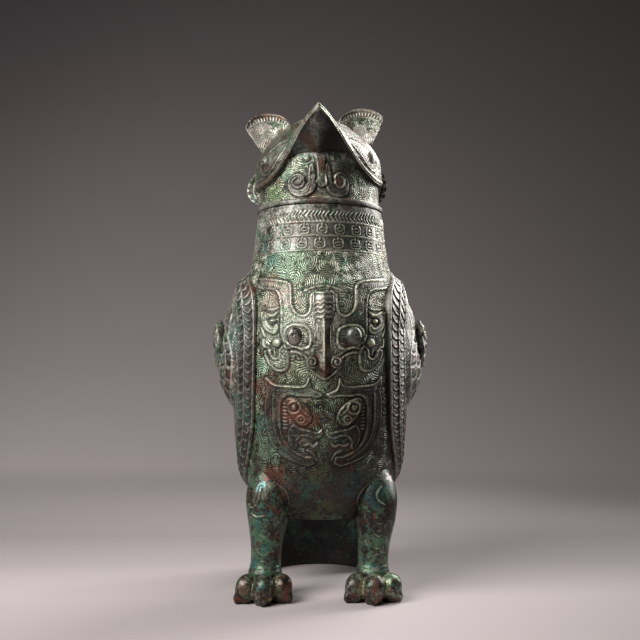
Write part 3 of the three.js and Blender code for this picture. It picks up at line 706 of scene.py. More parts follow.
# The dark patches on the right are painted shade, and the pale one at the right edge is a painted highlight.
neck_stains_and_painted_light = [
    (-46, -30, 305, 26, azurite, 0.7), (-30, -50, 300, 24, malachite, 0.6),
    (-56, -10, 322, 20, malachite, 0.5), (-5, -57, 335, 22, cuprite, 0.35),
    (22, -54, 336, 20, cuprite, 0.45), (-40, -45, 336, 16, cuprite, 0.3),
    (-8, -58, 306, 26, (0.120, 0.108, 0.092), 0.8), (54, -20, 318, 12, painted_highlight_skin, 0.5),
    (20, -54, 312, 30, painted_shade_skin, 1.0), (44, -36, 328, 18, painted_shade_skin, 0.7),
    (36, -44, 308, 22, painted_shade_skin, 0.9), (-16, -56, 312, 24, (0.180, 0.158, 0.144), 0.95),
    (-50, -26, 312, 14, azurite, 0.7),
]
neck.data.materials.append(bronze("neck_bronze", neck_stains_and_painted_light))
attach(neck, "vessel")
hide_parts("vessel_body")


# The nose of the breast mask. Cast on in high relief: a broad brow plate with wavy wrinkles, a sharp
# bridge, two curled nostrils and a hooked tip.

nose_tip = 189.8
nose_top = 261.5
nose_width = [(nose_tip, 0.6), (194, 3.4), (200, 6.6), (206, 7.6), (214, 5.6), (232, 5.6), (243, 10.6),
              (nose_top, 11.2)]
nose_ridge = [(nose_tip, 3.6), (196, 7.2), (204, 7.0), (216, 6.0), (234, 5.4), (250, 4.2), (nose_top, 3.0)]
mask_radius = 82
nostril_height = 202.5


def loop(count, ends=3, back=6):
    """Columns round a flat piece: along its face, down one edge, along its back and up the other edge.
    Each has its place across, from -1 to 1, and how far it belongs to the face, from 0 to 1."""
    face = [(u, 1.0) for u in np.linspace(-1, 1, count)]
    down = [(1.0, h) for h in np.linspace(1, 0, ends + 1)[1:]]
    rear = [(u, 0.0) for u in np.linspace(1, -1, back + 1)[1:]]
    up = [(-1.0, h) for h in np.linspace(0, 1, ends + 1)[1:]]
    return np.array(face + down + rear + up)


def nose_place(column, z):
    u, face = column.T
    width = along(nose_width, z)
    across = u * width
    front = face > 0.99
    carving = Carving(np.where(front, np.abs(across), far_off), np.where(front, z, far_off), plain=1)
    ridge = along(nose_ridge, z) * (1.3 - np.sqrt(u * u + 0.02)) - 0.4
    for level in (253.5, 249.4, 245.4, 241):
        wrinkle = [(0, level), (3, level - 2.2), (6, level - 1.2), (9.5, level - 4)]
        carving.ridge(wrinkle, 0.9, 0.35, cut=0.35)
    carving.ridge([(9.7, 261), (9.7, 250), (8.7, 244)], 1.2, 0.4)
    carving.ridge([(0, 260.2), (5, 260.4), (9.7, 260.2)], 1.2, 0.4)
    # A painted highlight along the left side of the bridge.
    carving.mark(crest=line_at(across, -0.9, 1.1) * smooth_step(z, 194, 199) * 0.8 * front)
    turn = (mask_middle + across) / mask_radius
    x, y = on_body(turn, z, (ridge + carving.rise) * face - 0.5 * (1 - face))
    return (x, y, z), (across, z), carving


nose = shaped("mask_nose", loop(70), [nose_tip] + steps(nose_tip, (nose_top, 110)) + [nose_top], nose_place)
# Painted light on the nose: the pale patches on its left are painted highlights, and the dark ones on its
# right painted shade.
nose_stains_and_painted_light = [
    (-6, -86, 248, 24, (0.380, 0.330, 0.300), 0.9), (-4, -86, 222, 16, (0.360, 0.330, 0.290), 0.8),
    (8, -86, 252, 14, painted_shade_skin, 1.0), (6, -88, 224, 14, painted_shade_skin, 1.0), (7, -88, 238, 12, painted_shade_skin, 0.9),
    (1, -88, 193, 9, (0.200, 0.075, 0.035), 1.0),
]
nose_bronze = bronze("nose_bronze", nose_stains_and_painted_light, rust=0.7)
nose.data.materials.append(nose_bronze)
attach(nose, "vessel")
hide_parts("breast_nose")


def knob(name, centre, halves, turn, carve=None, columns=64, rows=40, clip=None, back=50.0):
    """A rounded boss that faces outwards: halves are its reach across, outwards and up, in millimetres.
    Its back is cut off flat at this depth behind the centre."""

    def place(theta, polar):
        across = halves[0] * np.sin(polar) * np.cos(theta)
        up = halves[2] * np.sin(polar) * np.sin(theta)
        front = polar < math.pi * 0.56
        carving = Carving(np.where(front, across, far_off), np.where(front, up, far_off), plain=1)
        if carve:
            carve(carving, across, up, front)
        out = np.maximum(halves[1] * np.cos(polar), -back) + carving.rise * front
        x = centre[0] + across * math.cos(turn) + out * math.sin(turn)
        y = centre[1] + across * math.sin(turn) - out * math.cos(turn)
        points = (x, y, centre[2] + up)
        return clip(*points) if clip else points, (across, up), carving

    return shaped(name, steps(0.0, (2 * math.pi, columns)), steps(0.0, (math.pi, rows)), place)


def curl(carving, across, up, front):
    """A spiral cut in a boss, with a raised bead in its middle."""
    away, turn = np.hypot(across, up), np.arctan2(up, across)
    line = np.cos(2 * math.pi * (away / 2.9 - turn / (2 * math.pi))) * (away > 1.2) * (away < 5.0)
    carving.mark(0.45 * line + 0.5 * np.clip(1 - away / 1.3, 0, 1), line, -line)


for side, name in ((-1, "left"), (1, "right")):
    swing = (mask_middle + side * 10.2) / mask_radius
    x, y = on_body(swing, nostril_height, 1.4)
    nostril = knob("mask_nostril_" + name, (x, y, nostril_height), (5.7, 4.6, 5.7), swing, curl, back=3.4)
    nostril.data.materials.append(nose_bronze)
    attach(nostril, "vessel")
    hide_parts("breast_nose")


# The eyes of the breast mask. Two round bosses of solid bronze, each with a worn pit for its pupil. They
# stand in the sockets of the mask and were cast with the wall.

eye_height = 224
eye_out = 24.5


def pupil(carving, across, up, front):
    away = np.hypot(across - 0.4, up - 0.6)
    pit = line_at(away, 0, 1.1) * front
    carving.mark(-0.9 * pit, line_at(away, 1.9, 0.5) * 0.4 * front, pit)


# Painted light on the eyes: the left one is pale as a painted highlight, the right one dark as painted shade.
mask_eye_painted_light = [
    (-24, -80, eye_height, 14, (0.300, 0.270, 0.245), 1.0),
    (25, -80, eye_height, 14, (0.075, 0.080, 0.072), 1.0),
]
eye_bronze = bronze("eye_bronze", mask_eye_painted_light, gloss=0.18, rust=0.3)
for side, name in ((-1, "left"), (1, "right")):
    x, y = on_body(math.asin(eye_out / 75) * side, eye_height, 0.4)
    centre = (x + mask_middle, y, eye_height)
    turn = side * eye_out / mask_radius
    eye = knob("mask_eye_" + name, centre, (7.0, 5.6, 8.0), turn, pupil, 80, 60, back=2.6)
    eye.data.materials.append(eye_bronze)
    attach(eye, "vessel")
    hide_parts("breast_eye_" + name)


# The wings. Thick leaves on the flanks: a smooth rim and two bands of small scales along the front edge,
# a coiled snake on the swelling, and long feathers that sweep back over the haunch.

wing_bottom = 86
wing_top = 284
wing_front = [
    (wing_bottom, 98), (105.8, 72), (125.6, 59), (157.3, 51), (228.6, 48), (264.2, 54), (wing_top, 76),
]
wing_rear = [(wing_bottom, 120), (125.6, 138), (175.1, 141), (234.5, 132), (264.2, 116), (wing_top, 88)]
shield_height = 196
coil_turn = 92
coil_height = 200
coil_radius = 31
coil_pitch = 9.6


def scales(carving, phase, across, on, strength=1.0):
    """Overlapping scales with bright curved edges. phase counts them, across runs from -1 to 1."""
    step = phase % 1
    lip = line_at(step, 0.17, 0.1) * on
    gap = (line_at(step, 0.96, 0.1) + line_at(step, -0.04, 0.1)) * on
    rise = strength * (0.5 * (1 - step) * on + 0.35 * lip - 0.5 * gap)
    beside = on * line_at(np.abs(across), 1, 0.16) * 0.8
    worn = lip * np.clip(1.0 - 0.4 * np.abs(across), 0, 1)
    carving.mark(rise, worn, np.maximum(np.clip(gap * 1.2, 0, 1), beside))


def wing_place(side):
    def place(column, z):
        u, face = ((column[:, 0] + 1) / 2) ** 1.4, column[:, 1]
        start, end = along(wing_front, z), along(wing_rear, z)
        degrees = start + (end - start) * u
        around = along(body_half_width, z) * math.pi / 180 * 1.04
        width = (end - start) * around
        front = face > 0.99
        squeeze = np.clip(width / 62, 0.25, 1)
        s = (degrees - start) * around / squeeze
        rear = (end - degrees) * around
        carving = Carving(s, z, plain=front)
        for middle, reach in ((1.3, 1.0), (12.1, 1.0), (21.6, 0.9)):
            bar = hump_at(s, middle, reach) * front
            # The bars' crests are paler on the right wing, as a painted highlight.
            carving.mark(np.sqrt(bar), bar * (1.0 if side > 0 else 0.7))
        for middle in (7.3, 17.0):
            v = (s - middle) / 3.9
            on = (np.abs(v) < 1.08) & front
            slant = smooth_step(z, 196 if side > 0 else 240, 262) * (0.62 if side > 0 else 0.45)
            phase = (z + 3 * (middle > 10)) / 7.4 - (0.36 - 0.3 * slant) * v * v + slant * v
            scales(carving, phase, v, on)
            # The scale bands are painted dark; on the right wing only low down, as painted shade, and left
            # light higher up where the light falls.
            dark = 0.6 if side < 0 else 0.5 * smooth_step(z, 232, 200)
            carving.mark(cut=on * dark * (1 - carving.crest))
        behind_bars = smooth_step(s, 22.6, 23.6) * front
        aside, above = (degrees - coil_turn) * around, (z - coil_height) * 0.86
        away, turn = np.hypot(aside, above), np.arctan2(above, aside) / (2 * math.pi)
        on = smooth_step(away, coil_radius, coil_radius - 1.5) * behind_bars
        w = ((away / coil_pitch + turn) % 1) * 2 - 1
        wall = hump_at(np.abs(w), 1, 0.16) * on * (away > 3)
        carving.mark(0.7 * wall, wall)
        inner = on * (np.abs(w) < 0.82) * (away > 3.5)
        ring = np.maximum(np.round(away / coil_pitch), 1)
        scales(carving, turn * ring * 6.0 + 0.3 * w * w, w, inner, 0.8)
        border = line_at(away, coil_radius + 0.2, 0.8) * behind_bars
        carving.mark(1.4 * np.sqrt(hump_at(away, 0, 4)) * front + 0.6 * border, border)
        outside = smooth_step(away, coil_radius + 1.4, coil_radius + 2.4)
        beyond = outside * behind_bars * smooth_step(rear, 3, 4)
        feather = (((s * squeeze - 23) / np.maximum(width - 27, 8) * 6.0) % 1) * 2 - 1
        quill = hump_at(np.abs(feather), 1, 0.14) * beyond
        shaft = hump_at(feather, 0, 0.1) * beyond
        barb = np.cos(2 * math.pi * (z + 7 * np.abs(feather)) / 2.7) * beyond * (1 - quill)
        worn = np.max([quill, shaft * 0.7, barb * 0.35], 0)
        carving.mark(0.65 * quill + 0.35 * shaft + 0.1 * barb, worn, -barb * 0.7)
        hem = hump_at(rear, 1.7, 1.3) * front
        carving.mark(0.7 * np.sqrt(hem), hem * 0.8)
        edge = 0.5 + 0.5 * smooth_step(degrees - start, 0, 14)
        shoulder = 5.5 + 4 * hump_at(z, 258, 26)
        tip = 0.3 + 0.7 * smooth_step(wing_top - z, 0, 9)
        up = (z - shield_height) / np.where(z > shield_height, 62, 34)
        shield = 12 * np.clip(1 - up * up - ((degrees - 90) / 25) ** 2, 0, None)
        swell = shoulder * edge * tip + shield - 0.5
        bevel = np.exp(-s / 0.7) * 0.5
        offset = (swell + carving.rise - bevel) * face - 0.8 * (1 - face)
        x, y = on_body(np.radians(degrees), z, offset)
        return (side * x, y, z), (s + 300, z), carving

    return place


wing_rows = [wing_bottom] + steps(wing_bottom, (wing_top, 330)) + [wing_top]
# A pale grey for painted sheen, where the right wing catches the light.
painted_sheen = (0.60, 0.57, 0.53)
wing_looks = {
    "left": ((0.90, 0.87, 0.76), [
        (-62, -44, 272, 26, cuprite, 0.8), (-72, -30, 220, 30, azurite, 0.6),
        (-86, -12, 190, 30, malachite, 0.45), (-78, -30, 170, 26, azurite, 0.5),
        (-76, -30, 130, 30, malachite, 0.35), (-66, -46, 200, 9, cuprite, 0.7),
        (-60, -58, 240, 30, (0.045, 0.030, 0.024), 0.75), (-60, -58, 204, 30, (0.045, 0.032, 0.026), 0.75),
        (-58, -58, 164, 30, (0.045, 0.034, 0.026), 0.75),
    ]),
    # On the right wing the pale patches high up are painted highlights and sheen, and the dark ones low down
    # painted shade.
    "right": ((0.60, 0.57, 0.50), [
        (64, -40, 262, 40, painted_highlight_skin, 0.65), (76, -34, 210, 34, (0.280, 0.270, 0.250), 0.55),
        (72, -42, 256, 18, painted_sheen, 0.9), (76, -42, 232, 16, painted_sheen, 0.9),
        (78, -40, 208, 14, (0.52, 0.50, 0.46), 0.8), (60, -58, 230, 24, (0.070, 0.064, 0.054), 0.9),
        (74, -34, 150, 34, painted_shade_skin, 0.5), (60, -52, 160, 24, cuprite, 0.3),
        (70, -40, 120, 26, malachite, 0.3), (60, -58, 200, 30, painted_shade_skin, 1.0),
        (60, -58, 168, 34, painted_shade_skin, 1.0), (58, -56, 134, 34, painted_shade_skin, 1.0),
    ]),
}
for side, name in ((-1, "left"), (1, "right")):
    worn, stains_and_painted_light = wing_looks[name]
    wing = shaped("wing_leaf_" + name, loop(200, 5, 16), wing_rows, wing_place(side))
    wing.data.materials.append(bronze("wing_bronze_" + name, stains_and_painted_light, rust=0.6, worn=worn))
    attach(wing, "vessel")
    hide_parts("wing_" + name)


# The beast heads. Small horned masks of solid bronze, one on each flank. Each stands off its wing on a
# short stem and was cast on after the wing.


def beast_mask(carving, across, up, front):
    half = Carving(np.abs(carving.x), carving.z)
    horn = [(1.5, 8), (4, 14.5), (9.5, 17.2), (14, 12.5), (12.5, 7), (8.6, 6.4), (7.6, 10.4), (10, 11.6)]
    half.ridge(horn, 2.4, 1.5)
    half.ridge([(2.4, 4.6), (7, 6), (12, 3.2)], 1.5, 0.8)
    half.boss(7.4, 0.4, 3.1, 1.5)
    half.ridge([(12.6, 2), (15.6, -2), (13, -7)], 1.6, 0.8)
    half.ridge([(2.6, 3), (2.2, -8), (4.4, -15)], 1.3, 0.7)
    half.boss(3.1, -18.2, 2.3, 1.3)
    half.ridge([(6, -8), (9, -12), (6.6, -18.4)], 1.2, 0.6)
    carving.mark(half.rise * front, half.crest * front, half.cut * front)


# On the right head the dark patch is painted shade and the pale one a painted highlight; the rest are
# corrosion.
beast_stains_and_painted_light = [
    (-92, -6, 232, 16, malachite, 0.8), (-92, -8, 214, 9, cuprite, 0.8),
    (-92, -6, 203, 9, (0.33, 0.34, 0.18), 0.7), (92, -4, 226, 18, painted_shade_skin, 0.55),
    (94, -8, 204, 10, painted_highlight_skin, 0.5),
]
beast_bronze = bronze("beast_bronze", beast_stains_and_painted_light)
for side, name in ((-1, "left"), (1, "right")):
    outwards = side * math.pi / 2
    beast = knob("beast_mask_" + name, (side * 91.2, 0, 219), (17, 5.2, 23), outwards, beast_mask, 120, 90)
    stem = knob("beast_stem_" + name, (side * 83.5, 0, 212), (7.6, 9.0, 11.5), outwards, None, 40, 24)
    for piece in (beast, stem):
        piece.data.materials.append(beast_bronze)
        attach(piece, "vessel")
        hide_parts("beast_head_" + name)


# The tail. A wide trough of bronze feathers that hangs from the lower back, on which it was cast. Its
# lower edge stands on the ground behind and is the third foot.

tail_top = 150
tail_half_turns = (52, 38)
tail_thickness = 9
tail_radius = 76
feather_width = 14.5


def tail_place(column, z):
    u, face = column.T
    bottom_turn, top_turn = tail_half_turns
    angle = math.pi + np.radians(bottom_turn + (top_turn - bottom_turn) * z / tail_top) * u
    front = face > 0.99
    s = (angle - math.pi) * tail_radius
    carving = Carving(s, z, plain=1)
    lane = s / feather_width + 0.5
    v = (lane % 1) * 2 - 1
    on = front * smooth_step(z, 5, 7) * smooth_step(1 - np.abs(u), 0.03, 0.06)
    scales(carving, (z - 5.5 * v * v) / 17 + 0.5 * (np.floor(lane) % 2), v, on)
    shaft = hump_at(v, 0, 0.12) * on
    barb = np.cos(2 * math.pi * (z - 6 * np.abs(v)) / 2.8) * on * (1 - shaft)
    carving.mark(0.35 * shaft + 0.1 * barb, np.maximum(shaft * 0.8, barb * 0.3), -barb * 0.6)
    hem = (line_at(z, 2.6, 1.5) + line_at(np.abs(u), 0.985, 0.02)) * front
    carving.rise += 0.5 * hem
    carving.crest = np.clip(carving.crest + hem * 0.7, 0, 1)
    thick = tail_thickness * (1 - 0.45 * smooth_step(z, 90, tail_top))
    offset = (thick - 0.4 + carving.rise) * face - 0.5 * (1 - face) * (z > 100)
    width = np.maximum(63, along(body_half_width, z) - 1.5) + offset
    depth = np.maximum(81, along(body_depth, z) - 1.5) + offset
    return (width * np.sin(angle), -depth * np.cos(angle), z), (s, z), carving


tail = shaped("tail_trough", loop(120, 4, 30), [0.0] + steps(0.0, (tail_top, 130)) + [tail_top], tail_place)
# Painted shade: the tail is painted near-black low at the back and dark higher up, where it lies in shade
# under the body.
tail_painted_shade = [(0, 80, 30, 70, (0.007, 0.010, 0.011), 1.0), (0, 84, 130, 60, painted_shade_skin, 0.6)]
tail.data.materials.append(bronze("tail_bronze", tail_painted_shade, green=0.6, gloss=0.51))
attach(tail, "vessel")
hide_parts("tail")


# The legs. Stout sleeves of bronze over a clay core, with a curl on the thigh and a strip of scales
# down the front of the shank. They run up into the belly, and a worn step shows where they were cast on.

leg_out = 46.3
leg_front = -45
leg_bottom = 20
thigh_start = 69.08
leg_top = 122
leg_radius = 16.5
leg_width = [(24, 13), (46.5, 14.17), (thigh_start, 18), (94.56, 20.5), (leg_top, 11.3)]
knee_height = 66
knee_lean = 0.06
thigh_curls = {
    -1: [
        [(7, 97), (7.6, 88), (9.5, 82), (13, 79.6), (17, 81.8), (18.8, 87)], [(15, 74.6), (9, 72), (2, 73.5)],
    ],
    1: [[(5, 97), (1.5, 92), (2, 86), (6, 82.5)]],
}


def leg_place(side):
    def place(turn, z):
        rise = smooth_step(z, thigh_start, leg_top)
        s = turn * leg_radius
        carving = Carving(s, z)
        for line in thigh_curls[side]:
            carving.ridge(line, 1.0, 0.6)
        v = (s - 3) / 6.0
        on = (np.abs(v) < 1) * smooth_step(z, 29, 32) * smooth_step(z, 72, 66)
        step = (z / 5.4 - 0.55 * v * v) % 1
        lip = line_at(step, 0.2, 0.1) * on
        patchy = np.clip(0.45 - side * 0.25 + 0.5 * np.sin(z * 0.45 + 1.6) + 0.4 * np.sin(s * 0.7), 0, 1)
        ankle = 0.5 * line_at(z, 28.2, 0.9)
        gap = line_at(step, 0.03, 0.08) * on * 0.6
        carving.mark(0.3 * lip + ankle, lip * 0.8 * patchy, gap, smooth_step(z, 45, 32))
        radius = along(leg_width, z) + 1.6 * smooth_step(z, 29, 23) + carving.rise - 0.3
        radius = radius + 2.2 * smooth_step(z, 36, 23) * np.clip(np.cos(turn), 0, 1)
        x = leg_out - 4.5 * rise + radius * np.sin(turn)
        y = leg_front + 9 * rise - radius * 1.07 * np.cos(turn)
        width, depth = along(body_half_width, z) - 1.1, along(body_depth, z) - 1.1
        inside = np.sqrt(np.maximum((x / width) ** 2 + (y / depth) ** 2, 1e-6))
        push = np.where((inside < 1) & (z > 67), 1 + (1 / inside - 1) * smooth_step(z, 67, 72), 1)
        x = side * x * push - knee_lean * np.maximum(knee_height - z, 0)
        return (x, y * push, z), (s, z), carving

    return place


leg_rows = [leg_bottom] + steps(leg_bottom, (leg_top, 150)) + [leg_top]
# The pale patch on top of the right thigh is a painted highlight, and the two turquoise spots on top of the
# left thigh are a worn edge brightened as a painted highlight.
leg_looks = {
    "left": (0.7, [
        (-46, -62, 108, 14, (0.150, 0.034, 0.020), 1.0), (-32, -66, 96, 16, (0.110, 0.034, 0.024), 0.8),
        (-54, -60, 99, 9, (0.14, 0.33, 0.31), 1.0), (-45, -66, 99, 7, (0.16, 0.32, 0.27), 0.9),
        (-45, -62, 76, 14, azurite, 0.7), (-52, -60, 56, 12, (0.10, 0.19, 0.11), 0.6),
        (-46, -60, 28, 9, (0.17, 0.19, 0.09), 0.4),
    ]),
    "right": (0.2, [
        (44, -64, 90, 20, (0.022, 0.060, 0.062), 0.8), (38, -64, 62, 18, (0.035, 0.095, 0.085), 0.6),
        (50, -60, 70, 10, azurite, 0.7), (60, -50, 104, 9, painted_highlight_skin, 0.9), (46, -60, 76, 12, azurite, 0.5),
        (46, -60, 27, 12, (0.24, 0.25, 0.21), 0.5),
    ]),
}
for side, name in ((-1, "left"), (1, "right")):
    rust, stains_and_painted_light = leg_looks[name]
    leg = shaped("leg_sleeve_" + name, steps(-math.pi, (math.pi, 110)), leg_rows, leg_place(side))
    leg_worn = (0.85, 0.95, 0.62)
    leg_bronze = bronze("leg_bronze_" + name, stains_and_painted_light, pale=0.05, green=0.8, rust=rust, worn=leg_worn)
    leg.data.materials.append(leg_bronze)
    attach(leg, "vessel")
    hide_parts("leg_" + name)

clay, tree, surface = new_material("casting_clay")
grain = mottle(signal(tree, "TexCoord", output="Object"), 2.5, 6.0, 0.7)
blend(grain, (0.46, 0.22, 0.12), (0.72, 0.46, 0.32)).to(surface["Base Color"])
signal(tree, "Bump", {"Height": grain, "Distance": 0.0008}).to(surface["Normal"])
surface["Roughness"].default_value = 0.9
for name in ("leg_core_right", "leg_core_left"):
    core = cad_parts[name]
    core.data.materials.clear()
    core.data.materials.append(clay)


# The feet. Solid bronze, with three round toes and short nails in front and a spur behind. They were
# cast in one with the ankles and stand flat on the ground.

toe_splay = 46
grain_size = 0.0008


def ball(centre, halves, turn=0.0, boxy=1.0):
    """A round lump at a place in millimetres. The lower boxy is, the squarer it gets."""
    bpy.ops.mesh.primitive_uv_sphere_add(segments=32, ring_count=16, radius=1)
    part = bpy.context.object
    for corner in part.data.vertices:
        x, y, z = (math.copysign(abs(c) ** boxy, c) * half for c, half in zip(corner.co, halves))
        x, y = x * math.cos(turn) - y * math.sin(turn), x * math.sin(turn) + y * math.cos(turn)
        corner.co = ((centre[0] + x) / 1000, (centre[1] + y) / 1000, (centre[2] + z) / 1000)
    return part


def melted(name, parts):
    """The parts joined and melted into one soft skin."""
    bpy.ops.object.select_all(action="DESELECT")
    for part in parts:
        part.select_set(True)
    bpy.context.view_layer.objects.active = parts[0]
    bpy.ops.object.join()
    whole = bpy.context.object
    whole.name = whole.data.name = name
    melt = whole.modifiers.new("melt", "REMESH")
    melt.mode = "VOXEL"
    melt.voxel_size = grain_size
    bpy.ops.object.modifier_apply(modifier="melt")
    soften = whole.modifiers.new("soften", "SMOOTH")
    soften.factor, soften.iterations = 0.5, 10
    bpy.ops.object.modifier_apply(modifier="soften")
    return whole


olive = (0.20, 0.24, 0.17)
foot_stains = [
    (-51, -76, 16, 9, azurite, 0.8), (-66, -70, 12, 10, (0.16, 0.10, 0.07), 0.9),
    (-44, -74, 5, 8, (0.26, 0.25, 0.08), 0.8), (-36, -72, 10, 9, azurite, 0.5),
    (-58, -60, 20, 8, (0.26, 0.28, 0.12), 0.6), (-42, -60, 20, 8, (0.26, 0.28, 0.12), 0.6),
    (43, -76, 18, 10, (0.12, 0.07, 0.05), 0.8), (34, -64, 20, 10, olive, 0.7), (50, -62, 22, 10, olive, 0.7),
    (28, -74, 10, 9, azurite, 0.5),
]
foot_worn = (0.62, 0.62, 0.34)
foot_bronze = bronze("foot_bronze", foot_stains, gloss=0.22, green=0.6, rust=0.8, pale=0.10, worn=foot_worn)
for side, name in ((-1, "left"), (1, "right")):
    bpy.ops.object.select_all(action="DESELECT")
    middle = side * leg_out
    parts = [
        ball((middle, leg_front, 12), (14.0, 15.0, 14.6)),
        ball((middle, leg_front - 7, 12), (19.0, 15.5, 9.5)),
        ball((middle, leg_front + 16.8, 8.0), (7.6, 11.0, 9.4)),
    ]
    for splay, reach, size in ((-toe_splay, 20.0, 1.0), (0, 20.5, 1.06), (toe_splay, 20.0, 1.0)):
        across, ahead = math.sin(math.radians(splay)), -math.cos(math.radians(splay))
        toe = (middle + reach * across, leg_front + reach * ahead, 11.0)
        parts.append(ball(toe, (9.0 * size, 12.2, 12.6 * size), math.radians(splay * 0.5), 0.86))
        nail = (middle + (reach + 10.5) * across, leg_front + (reach + 10.5) * ahead, 5.0)
        parts.append(ball(nail, (3.6, 2.6, 5.0), math.radians(splay * 0.8)))
    foot = melted("foot_toes_" + name, parts)
    flat = np.empty(len(foot.data.vertices) * 3)
    foot.data.vertices.foreach_get("co", flat)
    p = flat.reshape(-1, 3) * 1000
    p[:, 2] = np.minimum(np.where(p[:, 2] < 0.5, 0.0, p[:, 2]), 24.5)
    x, y, z = p.T
    swing = np.degrees(np.arctan2(x - middle, leg_front - y))
    ahead = np.hypot(x - middle, y - leg_front)
    between = line_at(np.abs(swing), toe_splay / 2, 4.5) * smooth_step(ahead, 13, 19)
    knuckle = line_at(ahead, 21, 5) * smooth_step(z, 15, 23)
    worn = np.maximum(knuckle * 0.4, np.clip(between * 1.5, 0, 1) * smooth_step(z, 2, 8))
    # The feet are painted darker where they meet the floor, as painted shade.
    keep_marks(foot.data, worn, between * 0.3 + smooth_step(z, 4, 1) * 0.6, np.ones(len(z)))
    p[:, 0] -= knee_lean * np.maximum(knee_height - z, 0)
    foot.data.vertices.foreach_set("co", (p / 1000).ravel())
    bpy.ops.object.shade_smooth()
    foot.data.materials.append(foot_bronze)
    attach(foot, "vessel")
    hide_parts("foot_" + name)


# The head's throat and dome. A hollow casting whose flange sits loosely in the neck. A bar between two
# curled plumes is raised on the throat, over a ground of thunder-pattern spirals.

throat_radius = 54
dome_base = 378
dome_height = 45
dome_point = 1.3
collar_top = 343.4
head_lean = 0.06


def tilted(x, y, z):
    """The head was shaped by hand and leans a little to one side above its collar."""
    lean = head_lean * x * smooth_step(z, collar_top, dome_base)
    return x - head_lean * np.maximum(z - collar_top, 0), y, z + lean


# Each row has its radius and height: the flange, the collar, the throat and dome, and back down inside.
throat_rows = [(48.2, 322.4), (48.6, 322.4), (51.4, 322.4), (51.6, 322.6), (51.6, 330), (51.6, 338.35)]
throat_rows += [(54, 338.4), (56.6, 338.4), (57.1, 338.6), (57.3, 339.2), (57.3, 340.4), (57.2, 341.6)]
throat_rows += [(56.8, 342.4), (55.6, 342.9), (54.4, 343.3)]
throat_rows += [(throat_radius, z) for z in steps(344.0, (dome_base, 60))]
turns = np.linspace(0, math.pi / 2, 24)
closing = [(max(math.cos(t), 0) ** dome_point, math.sin(t) ** dome_point) for t in turns]
throat_rows += [(throat_radius * across, dome_base + dome_height * up) for across, up in closing[1:]]
throat_rows += [(50 * across, dome_base + 41 * up) for across, up in closing[::-1]]
throat_rows += [(48, z) for z in steps(370.0, (322.4, 12))] + [(48.2, 322.4)]

throat_bar = [
    (-4.2, 381), (-5.2, 384), (6.6, 384), (5.2, 379), (4.2, 372), (4.2, 362), (5.4, 356.5), (2.8, 353),
    (-0.8, 353), (-4.0, 356.5), (-2.6, 362), (-2.6, 372),
]
plume = [
    (6.4, 372), (5.4, 364), (5.0, 354), (8.4, 348), (14, 345), (21, 344.8), (26.6, 348), (28.8, 353.6),
    (27.8, 360), (23.4, 364.4), (18, 364.4), (14.4, 361.2), (14.6, 356.8), (12.6, 355.4), (11, 358),
    (10.8, 365), (9.4, 371),
]
plume_curl = [(14.6, 356.8), (17, 353.2), (21.2, 352.4), (24.4, 355), (24.6, 359), (22, 361)]


def throat_place(angle, row):
    radius, z = row.T
    front = (radius == throat_radius) & (z > 343.5) & (z < dome_base + 0.1)
    s = np.where(front & (np.abs(angle) < 1.2), throat_radius * np.sin(angle), far_off)
    carving = Carving(s, z, plain=1 - front)
    carving.plate(throat_bar, 1.4, 0, 0.3)
    for mirror, wide, middle, worn in ((-1, 1.0, 0.6, 0.45), (1, 0.82, -0.2, 0.7)):
        before = carving.crest.copy()
        carving.plate([(mirror * wide * x + middle, up) for x, up in plume], 1.2, 0, 0.4)
        carving.ridge([(mirror * wide * x + middle, up) for x, up in plume_curl], 1.1, 0.5, cut=0.5)
        carving.crest = before + (carving.crest - before) * worn
        carving.boss(mirror * 11.6 + middle, 377.6, 2.6, 1.0)
    rim = (radius > 55) & (z > 338.3)
    worn = np.maximum(line_at(z, 344.4, 0.7) * front * 0.6, rim * line_at(z, 342.2, 0.5) * 0.3)
    carving.mark(crest=worn, cut=rim * 0.4)
    out = radius + carving.rise * front
    x, y, z = tilted(out * np.sin(angle), -out * np.cos(angle), z)
    return (x, y, z), (angle * throat_radius + 40, z), carving


throat_turns = steps(-math.pi, (-1.25, 60), (1.25, 190), (math.pi, 60))
throat = shaped("throat_and_dome", throat_turns, throat_rows, throat_place, capped=False)
# The dark patches on the right are painted shade, and the pale one on the right a painted highlight; the rest
# are corrosion.
throat_stains_and_painted_light = [
    (-30, -46, 364, 18, malachite, 0.6), (-40, -34, 352, 18, (0.220, 0.290, 0.140), 0.7),
    (1, -56, 370, 12, cuprite, 1.0), (-9, -55, 356, 8, (0.09, 0.065, 0.06), 0.9),
    (-20, -52, 355, 12, (0.11, 0.085, 0.085), 1.0), (-12, -54, 346, 8, (0.10, 0.075, 0.07), 0.9),
    (10, -55, 352, 10, painted_shade_skin, 0.9), (14, -53, 357, 7, cuprite, 1.0), (18, -51, 348, 8, painted_shade_skin, 0.8),
    (-8, -56, 341, 20, (0.16, 0.075, 0.045), 0.9), (-38, -42, 343, 16, (0.19, 0.23, 0.12), 0.7),
    (24, -52, 341, 16, (0.10, 0.05, 0.035), 0.8), (20, -50, 368, 20, painted_shade_skin, 0.7),
    (46, -26, 350, 20, painted_highlight_skin, 0.7),
]
throat.data.materials.append(bronze("throat_bronze", throat_stains_and_painted_light, 0.75, spirals=(13.0, 1.6)))
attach(throat, "head")
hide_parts("head_shell")


# The hood and beak. A cap over the dome that runs forward to a hooked point, with a rolled rim down both
# cheeks, a beaded border beside the rim, and a keel along the underside of the beak, which is painted dark as
# shade.

